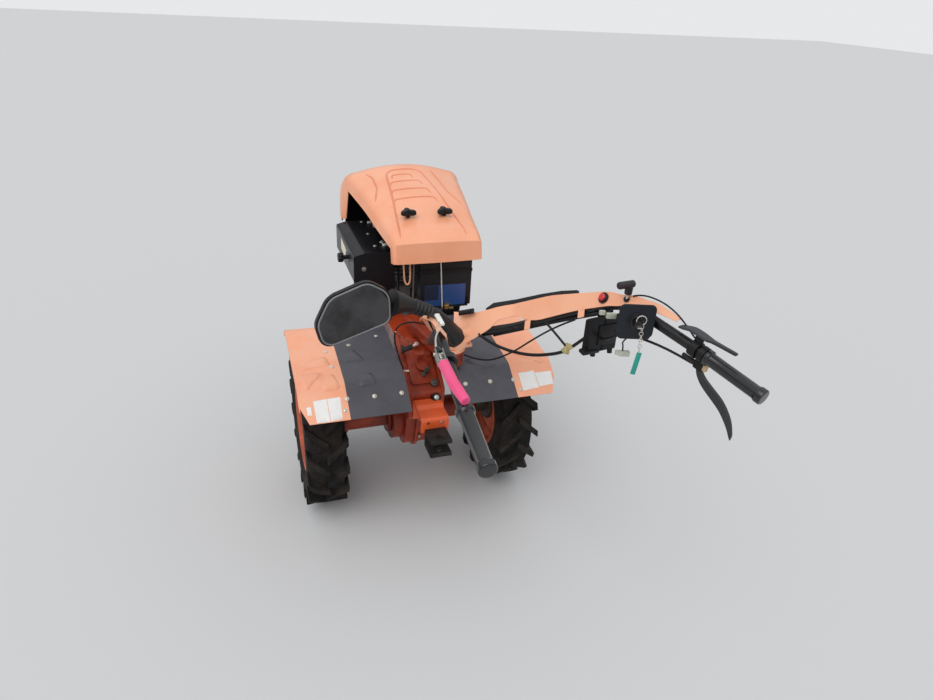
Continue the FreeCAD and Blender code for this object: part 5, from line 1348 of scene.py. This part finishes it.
@dataclass
class Handlebar:
    """Swivel, arms, covers, grips and controls."""

    maker: Maker
    body: str = ""

    COVER = (
        # distance along the tube, lower edge, upper edge, height over the tube's middle
        (-24, 2, 76, 22), (6, -30, 73, 12), (40, -26, 65, 15), (74, -14, 64, 17.4), (110, 2, 66, 17.4),
        (142, 25, 69, 17.4), (212, 26, 70, 17.4), (244, 9, 69, 17.4), (298, -3, 68, 17.4),
        (354, -3, 65, 17.4), (448, -2, 51, 17.4), (540, -8, 36, 17.4), (584, -10, 24, 17.4),
        (612, -2, 27, 17.4), (650, 8, 34, 17.4), (690, 18, 42, 17.4), (752, 28, 40, 17.4),
    )

    def build(self) -> None:
        """Make the handlebar's pieces."""
        self.body = frame["nodes"]["arm_left"]["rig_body"]
        self.rails = {side: ArmRail(side) for side in (-1, 1)}
        for node, finish, edge in (
                ("swivel_head", "bar_orange", 1.0), ("grips", "grip_gloss", 0.8),
                ("mirror_shell", "mirror_case", 3.0),
                ("mirror_glass", "mirror_painted_dark_reflection", 0.6)):
            self.maker.skin(node, finish, edge)
        self.tubes()
        self.covers()
        self.mirror()
        self.panel()
        self.box()
        self.button()
        self.throttle()
        self.right_levers()
        self.left_lever()
        self.cables()

    def put(self, bm: bmesh.types.BMesh, name: str, finish: str, replaced: str = "",
            edge: float = 0.0, angle: float = 35.0) -> bpy.types.Object:
        """Finish one piece of the handlebar.

        Args:
            bm: The piece's mesh.
            name: The piece's name.
            finish: The finish's name.
            replaced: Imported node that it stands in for, or nothing.
            edge: Width of its rounded edges in millimetres.
            angle: Edges steeper than this are rounded, in degrees.

        Returns:
            The piece.
        """
        piece = finish_mesh(bm, name, angle)
        if edge > 0:
            soften(piece, edge, 2, angle)
        if replaced:
            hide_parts(replaced)
        return self.maker.keep(piece, finish, self.body)

    def tubes(self) -> None:
        """Both tubes and the sockets that hold them."""
        sockets = bmesh.new()
        for side, name in ((-1, "left"), (1, "right")):
            rail = self.rails[side]
            bm = bmesh.new()
            rings = []
            for i, place in enumerate(rail.points):
                spot = rail.spot(rail.lengths[i])
                rings.append([bar(*p) for p in turned(place, spot.inward, spot.up, 14, 24)])
            add_loft(bm, rings)
            self.put(bm, f"arm_{name}_tube", "arm_paint", f"arm_{name}")
            spot = rail.spot(0)
            add_sleeve(sockets, spot.matrix(spot.at, spot.heading, spot.up), 14.3, 19, 3, 35)
            block(sockets, Matrix.Translation(bar(side * 43, -17, 698)), 26, 26, 14, 2)
        block(sockets, placed(bar(0, -4, 686), Vector((0, 0, 1)), bar(1, 0, 0) - bar(0, 0, 0)),
              116, 68, 12, 3)
        self.put(sockets, "tube_sockets", "bar_orange", "", 0.8)

    def sheet(self, bm: bmesh.types.BMesh, side: int, rows: list, lipped: bool) -> None:
        """Add a pressed sheet over a tube, lipped along its upper edge."""
        rings = []
        for distance, low, high, lift in rows:
            spot = self.rails[side].spot(distance)
            slope, normal = spot.sheet()
            ring = [(low, lift), (high, lift)]
            ring += [(high, lift - 11), (high - 2.5, lift - 11), (high - 2.5, lift - 2.5)] if lipped else [
                (high, lift - 2.5)]
            ring.append((low, lift - 2.5))
            rings.append([bar(*(spot.at + slope * a + normal * b)) for a, b in ring])
        add_loft(bm, rings)

    def covers(self) -> None:
        """Sheet covers with the clips of the right one and the dark trough beside it."""
        rows = smooth_rows(self.COVER, 4)
        bm = bmesh.new()
        self.sheet(bm, 1, rows, True)
        for distance, low in ((261, 4), (464, 0)):
            self.sheet(bm, 1, [(distance - 11, -26, low, 17.4), (distance + 11, -26, low, 17.4)], False)
        self.put(bm, "cover_right", "bar_orange", "arm_cover_right", 0.8, 40)
        bm = bmesh.new()
        self.sheet(bm, -1, [row for row in rows if 140 < row[0] < 640], True)
        self.put(bm, "cover_left", "bar_orange", "arm_cover_left", 0.8, 40)
        bm = bmesh.new()
        rings = []
        for distance, low, high in ((92, 66, 72), (120, 66, 86), (200, 68, 86), (300, 67, 82), (380, 63, 75),
                                    (440, 54, 64)):
            spot = self.rails[1].spot(distance)
            slope, normal = spot.sheet()
            ring = ((low, 4), (high, 4), (high, 15), (low, 15))
            rings.append([bar(*(spot.at + slope * a + normal * b)) for a, b in ring])
        add_loft(bm, rings)
        self.put(bm, "cable_trough", "arm_paint", "", 1.5)
        spot = self.rails[1].spot(30)
        slope, normal = spot.sheet()
        bm = bmesh.new()
        block(bm, spot.matrix(spot.at + slope * 64 + normal * 31, normal, spot.heading), 56, 16, 9, 2)
        block(bm, spot.matrix(spot.at + slope * 64 + normal * 37, normal, spot.heading), 40, 10, 6, 1.5)
        self.put(bm, "cable_plug", "black_plastic")

    def mirror(self) -> None:
        """The mirror's rubber arm, flared at both ends, its ribs and the rim round the glass."""
        spot = self.rails[-1].spot(0)
        rows = smooth_rows(((9, -6, 700, 36), (5, -6, 706, 39), (-4, -7, 722, 34), (-16, -9, 741, 29),
                            (-46, -12, 781, 23.5), (-86, -15, 815, 21), (-147, -19, 849, 21.5),
                            (-172, -22, 860, 26), (-216, -28, 873, 41)), 3)
        points = [bar(x, y, z) for x, y, z, _ in rows]
        rings = []
        for i, (row, at) in enumerate(zip(rows, points)):
            heading = (points[min(i + 1, len(points) - 1)] - points[max(i - 1, 0)]).normalized()
            across = heading.cross(Vector((0, 1, 0))).normalized()
            rings.append(turned(at, across, heading.cross(across), row[3] * MM, 36))
        bm = bmesh.new()
        add_loft(bm, rings)
        self.put(bm, "mirror_arm_boot", "boot_rubber", "mirror_arm", 0.8, 35)
        bm = bmesh.new()
        add_sleeve(bm, spot.matrix(Vector((9, -6, 700)), Vector((-25, -3, 41)), Vector((0, 1, 0))), 36, 43,
                   -16, 3, 40)
        self.put(bm, "mirror_arm_seat", "bar_orange", "", 0.8)
        bm = bmesh.new()
        start, end = Vector((-86, -15, 815)), Vector((-147, -19, 849))
        for i in range(5):
            at = start.lerp(end, 0.1 + 0.2 * i)
            place = spot.matrix(at, end - start, Vector((0, 1, 0)))
            add_ring(bm, place, 36, -3, 0, 21.5, 25)
            add_ring(bm, place, 36, 0, 3, 25, 21.5)
        self.put(bm, "mirror_arm_ribs", "boot_rubber", "", 0.6, 30)
        mesh = frame["nodes"]["mirror_glass"].data
        face = max(mesh.polygons, key=lambda p: (round(p.area, 7), -p.center.y))
        normal = face.normal.copy()
        plane = [mesh.vertices[v].co for p in mesh.polygons for v in p.vertices
                 if p.normal.dot(normal) > 0.99 and abs((p.center - face.center).dot(normal)) < 1e-4]
        if normal.y > 0:
            plane = [co - normal * 3 * MM for co in plane]
        middle = sum(plane, Vector()) / len(plane)
        turn = basis(normal)
        ordered = sorted({tuple(round(c, 5) for c in co) for co in plane},
                         key=lambda co: math.atan2((Vector(co) - middle).dot(turn.col[1]),
                                                   (Vector(co) - middle).dot(turn.col[0])))
        data = bpy.data.curves.new("mirror_rim", "CURVE")
        data.dimensions = "3D"
        data.bevel_depth = 2.6 * MM
        data.bevel_resolution = 3
        spline = data.splines.new("POLY")
        spline.points.add(len(ordered) - 1)
        for knot, co in zip(spline.points, ordered):
            knot.co = (*co, 1.0)
        spline.use_cyclic_u = True
        rim = bpy.data.objects.new("mirror_rim", data)
        bpy.context.scene.collection.objects.link(rim)
        self.maker.keep(rim, "rim_grey", self.body)

    def panel(self) -> None:
        """Switch panel with its lock, key, ring and tag."""
        right = Vector((0.906, -0.423, 0))
        normal = Vector((-0.423, -0.906, 0))
        middle = Vector((232, -575, 987))
        spot = self.rails[1].spot(660)
        face = spot.matrix(middle, normal, right)
        bm = bmesh.new()
        plate(bm, face, rounded(94, 92, 14), 5, 1.5)
        reach = (spot.at - middle).dot(-normal)
        offset = (spot.at - middle).dot(right)
        block(bm, face @ Matrix.Translation(mm(offset, spot.at.z - 987, (14 - reach) / 2)), 18, 18,
              reach - 14, 1)
        block(bm, face @ Matrix.Translation(mm(4, -14, -20)), 84, 84, 36, 8)
        self.put(bm, "panel_plate", "panel_plastic", "switch_panel", 0.5)
        bm = bmesh.new()
        add_ring(bm, face, 40, 4, 9, 25)
        add_ring(bm, face, 40, 9, 14, 21, 19)
        add_ring(bm, face, 32, 14, 27, 12, 11)
        self.put(bm, "panel_lock", "gloss_black", "", 0.8)
        bm = bmesh.new()
        plate(bm, face @ Matrix.Translation(mm(0, 0, 26)) @ Matrix.Rotation(math.pi / 2, 4, "X"),
              [(-3, 0), (3, 0), (6, 6), (6, 16), (-6, 16), (-6, 6)], 2)
        self.put(bm, "panel_key", "zinc", "", 0.3)
        ring = spot.matrix(Vector((227, -600, 1000)), normal, right)
        self.ring(bm := bmesh.new(), ring, 12.5, 1.3)
        for i, (x, y, z) in enumerate(((230, -602, 982), (230, -603, 973), (231, -603, 964), (231, -604, 955),
                                       (232, -604, 946), (232, -604, 937), (233, -604, 928),
                                       (233, -604, 919))):
            side = right if i % 2 else normal
            self.ring(bm, spot.matrix(Vector((x, y, z)), side, Vector((0, 0, 1))), 5.0, 0.9, 1.0)
        self.put(bm, "key_ring", "zinc")
        tag = spot.matrix(Vector((231, -604, 879)), normal, right + Vector((0, 0, -0.12)))
        bm = bmesh.new()
        block(bm, tag, 13, 64, 5, 2)
        self.put(bm, "key_tag", "teal_tag")
        bm = bmesh.new()
        block(bm, spot.matrix(Vector((238, -545, 878)), normal, right), 30, 15, 14, 3)
        block(bm, spot.matrix(Vector((222, -538, 880)), normal, right), 12, 12, 10, 2)
        self.put(bm, "clear_connector", "clear_plug")
        self.maker.cable("connector_wire", [bar(228, -560, 935), bar(222, -548, 915), bar(236, -540, 900),
                                            bar(234, -543, 884)], 2.0, "cable_sheath", self.body)

    @staticmethod
    def ring(bm: bmesh.types.BMesh, place: Matrix, radius: float, thick: float,
             stretch: float = 1.0) -> None:
        """Add a round wire ring in a place's XY plane, in millimetres."""
        around, across = 28, 8
        rows = []
        for i in range(around):
            a = 2 * math.pi * i / around
            row = []
            for k in range(across):
                b = 2 * math.pi * k / across
                reach = radius + thick * math.cos(b)
                row.append(bm.verts.new(place @ mm(reach * math.cos(a), reach * math.sin(a) * stretch,
                                                   thick * math.sin(b))))
            rows.append(row)
        for i in range(around):
            for k in range(across):
                j, m = (i + 1) % around, (k + 1) % across
                bm.faces.new((rows[i][k], rows[i][m], rows[j][m], rows[j][k]))

    def box(self) -> None:
        """Switch box hung under the right tube with its stem and cable glands."""
        bm = bmesh.new()
        for wide, lift, mid in ((96, -12, 251.8), (16, 0, 249.8)):
            ring = [(-408, 949.6 - 16.8 + lift), (-438, 968.2 - 16.8 + lift), (-438, 828), (-408, 828)]
            add_loft(bm, [[bar(x, y, z) for y, z in ring] for x in (mid - wide / 2, mid + wide / 2)])
        self.put(bm, "box_case", "black_plastic", "switch_box", 4.0)
        bm = bmesh.new()
        spot = self.rails[1].spot(480)
        for x, z in ((228, 850), (286, 850)):
            add_ring(bm, spot.matrix(Vector((x, -430, 828)), Vector((0, -0.2, -1)), Vector((1, 0, 0))), 20,
                     -2, 14, 8, 7)
        block(bm, spot.matrix(Vector((262, -440, 880)), Vector((0, -1, 0)), Vector((1, 0, 0))), 60, 60, 5, 2)
        block(bm, spot.matrix(Vector((214, -432, 834)), Vector((0.1, -0.2, 1)), Vector((1, 0.1, 0))), 62, 24, 12, 4)
        self.put(bm, "box_glands", "black_plastic", "", 0.8)
        bm = bmesh.new()
        for at, size in (((200, -515, 980), (26, 14, 12)), ((178, -505, 988), (16, 12, 10))):
            block(bm, spot.matrix(Vector(at), Vector((-0.4, -0.9, 0)), Vector((0.9, -0.4, 0))), *size, 2)
        self.put(bm, "small_plugs", "clear_plug")

    def sheet_place(self, distance: float, a: float, b: float) -> tuple[Matrix, Spot]:
        """Place on the right cover: along the tube, up its slope and over the tube's middle."""
        spot = self.rails[1].spot(distance)
        slope, normal = spot.sheet()
        return spot.matrix(spot.at + slope * a + normal * b, normal, spot.heading), spot

    def button(self) -> None:
        """Red stop button in its black collar."""
        place, _ = self.sheet_place(540, 16, 17.7)
        bm = bmesh.new()
        add_ring(bm, place, 36, 0, 5, 15.5)
        add_ring(bm, place, 36, 5, 8, 15.5, 12.5)
        self.put(bm, "button_collar", "black_plastic", "", 0.6)
        bm = bmesh.new()
        add_ring(bm, place, 32, 7, 11, 10.5)
        add_ring(bm, place, 32, 11, 14, 10.5, 6.5)
        self.put(bm, "button_dome", "red_button", "stop_button", 1.2, 25)

    def throttle(self) -> None:
        """Throttle: pale stem, neck and cross head."""
        place, spot = self.sheet_place(606, 12, 17.9)
        base = place.translation
        up = Vector((0, 0, 1))
        bm = bmesh.new()
        add_ring(bm, place, 20, 0, 5, 8)
        self.put(bm, "throttle_foot", "black_plastic", "throttle_lever")
        bm = bmesh.new()
        add_ring(bm, placed(base, up), 20, 2, 22, 4)
        self.put(bm, "throttle_stem", "pale_strap")
        bm = bmesh.new()
        neck = placed(base, up)
        add_ring(bm, neck, 28, 16, 40, 10, 11)
        cross = bar(1, 0, 0) - bar(0, 0, 0)
        head = placed(base + up * 43.5 * MM, cross, up)
        add_ring(bm, head, 28, -34, 12, 10)
        add_ring(bm, head, 28, -37, -34, 7, 10)
        add_ring(bm, head, 28, 12, 14, 10, 8)
        self.put(bm, "throttle_grip", "grip_dark", "", 1.5, 30)

    @staticmethod
    def strip(bm: bmesh.types.BMesh, root: Vector, spot: Spot, across: Vector,
              rows: list[tuple[float, float, float, float]]) -> None:
        """Add a bent strip: rows of distance ahead, height, half width and thickness."""
        rings = []
        for ahead, high, half, thick in rows:
            centre = root + spot.heading * ahead + spot.up * high
            rings.append([bar(*(centre + across * a * half + spot.up * b * thick / 2))
                          for a, b in ((-1, -0.4), (-0.8, 1), (0.8, 1), (1, -0.4), (0.8, -1), (-0.8, -1))])
        add_loft(bm, rings)

    def right_levers(self) -> None:
        """Drive lever over the right grip, steering lever under it, and their clamps."""
        rail = self.rails[1]
        start = Vector(rail.CORNERS[-2][:3])
        end = Vector(rail.CORNERS[-1][:3])
        heading = (end - start).normalized()
        inward = heading.cross(Vector((0, 0, 1))).normalized()
        up = inward.cross(heading).normalized()
        spot = Spot(start, heading, inward, up)
        bm = bmesh.new()
        root = start + heading * 8
        add_sleeve(bm, spot.matrix(root, heading, up), 14.3, 22, -11, 11)
        block(bm, spot.matrix(root + up * 26, up, heading), 22, 12, 20, 2)
        root = start + heading * 34
        add_sleeve(bm, spot.matrix(root, heading, up), 14.3, 21, -8, 8)
        block(bm, spot.matrix(root - up * 30, up, heading), 26, 16, 28, 3)
        self.put(bm, "right_clamps", "black_plastic", "lever_clamps", 1.0)
        bm = bmesh.new()
        rows = smooth_rows(((-62, -5, 9, 5), (-48, 0, 14, 6), (-26, 8, 15, 7), (0, 10, 15, 7), (22, 10, 13, 7),
                            (34, 12, 8, 7), (60, 15, 6, 7), (96, 19, 5, 7), (102, 20, 4, 5)), 3)
        self.strip(bm, start + heading * 8 + up * 32.5, spot, inward, [tuple(row) for row in rows])
        self.put(bm, "drive_strip", "lever_dark", "drive_lever", 0.8)
        bm = bmesh.new()
        rows = smooth_rows(((-6, -22, 8, 14), (6, -46, 8, 18), (30, -65, 6, 22), (64, -78, 5, 25),
                            (98, -92, 5, 26), (130, -117, 5, 24), (148, -141, 4, 18), (153, -150, 3, 12)), 3)
        self.strip(bm, root, spot, inward, [tuple(row) for row in rows])
        self.put(bm, "steering_blade", "lever_dark", "steering_lever", 1.0)
        bm = bmesh.new()
        block(bm, spot.matrix(root - up * 26 + heading * 16, inward, heading), 16, 24, 10, 2)
        self.put(bm, "lever_wedge", "tan_plastic")
        bm = bmesh.new()
        add_ring(bm, spot.matrix(root - up * 34 - heading * 6, -heading, up), 20, 0, 46, 7.5, 5)
        self.put(bm, "cable_boot", "boot_rubber", "", 0.8)

    def left_lever(self) -> None:
        """Clutch lever in its pink sleeve with the clevis and rod ahead of it."""
        rail = self.rails[-1]
        spot = rail.spot(700)
        lean = (spot.up * 28 - spot.inward * 22).normalized()
        bm = bmesh.new()
        add_sleeve(bm, spot.matrix(spot.at, spot.heading, spot.up), 14.3, 22, -9, 9)
        side = lean.cross(spot.heading).normalized()
        block(bm, spot.matrix(spot.at + lean * 31, lean, side), 14, 18, 30, 2)
        self.put(bm, "left_clamp", "arm_paint", "", 1.0)
        bm = bmesh.new()
        first = spot.at + spot.heading * 42 - spot.inward * 20 + spot.up * 29
        middle, last = rail.spot(812), rail.spot(868)
        run = rounded_run([(first, 0), (middle.at - middle.inward * 13 + middle.up * 30, 200),
                           (last.at - last.inward * 2 + last.up * 30, 0)])
        rings = []
        for i, place in enumerate(run):
            ahead = (run[min(i + 1, len(run) - 1)] - run[max(i - 1, 0)]).normalized()
            flat = ahead.cross(spot.up).normalized()
            reach = 12.5 if i < len(run) - 1 else 10.5
            rings.append([bar(*p) for p in turned(place, flat, ahead.cross(flat), reach, 20)])
        add_loft(bm, rings)
        self.put(bm, "pink_grip", "pink_sleeve", "clutch_lever", 2.0)
        bm = bmesh.new()
        ahead = (run[1] - run[0]).normalized()
        for shift in (-8, 8):
            block(bm, spot.matrix(first - ahead * 22 + spot.inward * shift, spot.inward, ahead), 44, 20, 3, 1)
        block(bm, spot.matrix(first - ahead * 2, ahead, spot.inward), 20, 20, 6, 1.5)
        self.put(bm, "lever_clevis", "clevis_grey", "", 0.5)
        bm = bmesh.new()
        add_ring(bm, spot.matrix(first - ahead * 34, spot.inward, ahead), 16, -12, 12, 4)
        add_ring(bm, spot.matrix(first - ahead * 34, ahead, spot.inward), 16, -10, 22, 5)
        self.put(bm, "clevis_pin", "zinc", "", 0.4)
        rod = first - ahead * 40
        self.maker.cable("clutch_rod", [bar(*rod), bar(*(rod - ahead * 40 + spot.up * 6)),
                                        bar(-262, -480, 1016), bar(-256, -420, 1010)], 2.2, "zinc",
                         self.body)
        self.maker.cable("clutch_cable", [bar(-256, -420, 1010), bar(-250, -360, 985), bar(-215, -300, 930),
                                          bar(-150, -200, 840), bar(-60, -90, 745), bar(-10, -40, 700)],
                         3.2, "cable_sheath", self.body)
        bm = bmesh.new()
        block(bm, spot.matrix(Vector((-258, -452, 1014)), spot.up, Vector((0.1, 1, 0.15))), 44, 12, 8, 2)
        self.put(bm, "cable_stop", "pale_strap", "", 0.5)

    def cables(self) -> None:
        """Cables, wires and the string along the right tube."""
        sheath = "cable_sheath"
        body = self.body
        self.maker.cable("main_cable", [bar(60, -70, 742), bar(84, -122, 722), bar(137, -239, 734),
                                        bar(182, -330, 778), bar(198, -362, 808), bar(214, -395, 850),
                                        bar(232, -414, 880)], 5.0, sheath, body)
        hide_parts("control_cables")
        self.maker.cable("thin_cable", [bar(35, -28, 650), bar(67, -98, 652), bar(107, -185, 716),
                                        bar(146, -270, 812), bar(176, -330, 872), bar(196, -372, 905)],
                         2.8, sheath, body)
        self.maker.cable("branch_cable", [bar(156, -290, 866), bar(176, -330, 838), bar(190, -362, 812)],
                         3.6, sheath, body)
        self.maker.cable("tube_cable", [bar(100, -96, 742), bar(150, -200, 806), bar(196, -330, 886),
                                        bar(236, -440, 948), bar(240, -470, 968)], 4.0, sheath, body)
        self.maker.cable("throttle_cable", [bar(275, -500, 1018), bar(290, -516, 1028), bar(306, -572, 1030),
                                            bar(316, -620, 1018), bar(322, -660, 996), bar(324, -690, 978)],
                         2.2, sheath, body)
        self.maker.cable("steering_cable", [bar(262, -470, 905), bar(276, -540, 918), bar(296, -610, 922),
                                            bar(318, -672, 915), bar(324, -700, 912)], 3.4, sheath, body)
        self.maker.cable("lock_wires", [bar(228, -560, 960), bar(214, -530, 925), bar(222, -480, 890),
                                        bar(236, -446, 876)], 4.5, sheath, body)
        bm = bmesh.new()
        spot = self.rails[1].spot(480)
        at = Vector((190, -362, 810))
        block(bm, spot.matrix(at, Vector((-0.9, -0.4, 0)), Vector((0.4, -0.8, 1.0))), 40, 17, 3, 1)
        block(bm, spot.matrix(at, Vector((0.3, -0.7, 0.6)), Vector((0.4, -0.8, 1.0))), 34, 16, 9, 3)
        self.put(bm, "cable_tape", "tape_yellow")


def main() -> None:
    """Build the studio and every sub-assembly."""
    logging.basicConfig(level=logging.INFO, format="%(name)s %(message)s")
    Studio().build()
    maker = Maker(Paintbox())
    for part in (Wheels(maker), Driveline(maker), Fenders(maker), EngineBay(maker),
                 HoodBay(maker), Handlebar(maker)):
        part.build()
        LOG.info("%s done", type(part).__name__)
    bpy.context.view_layer.update()


if __name__ == "__main__":
    main()
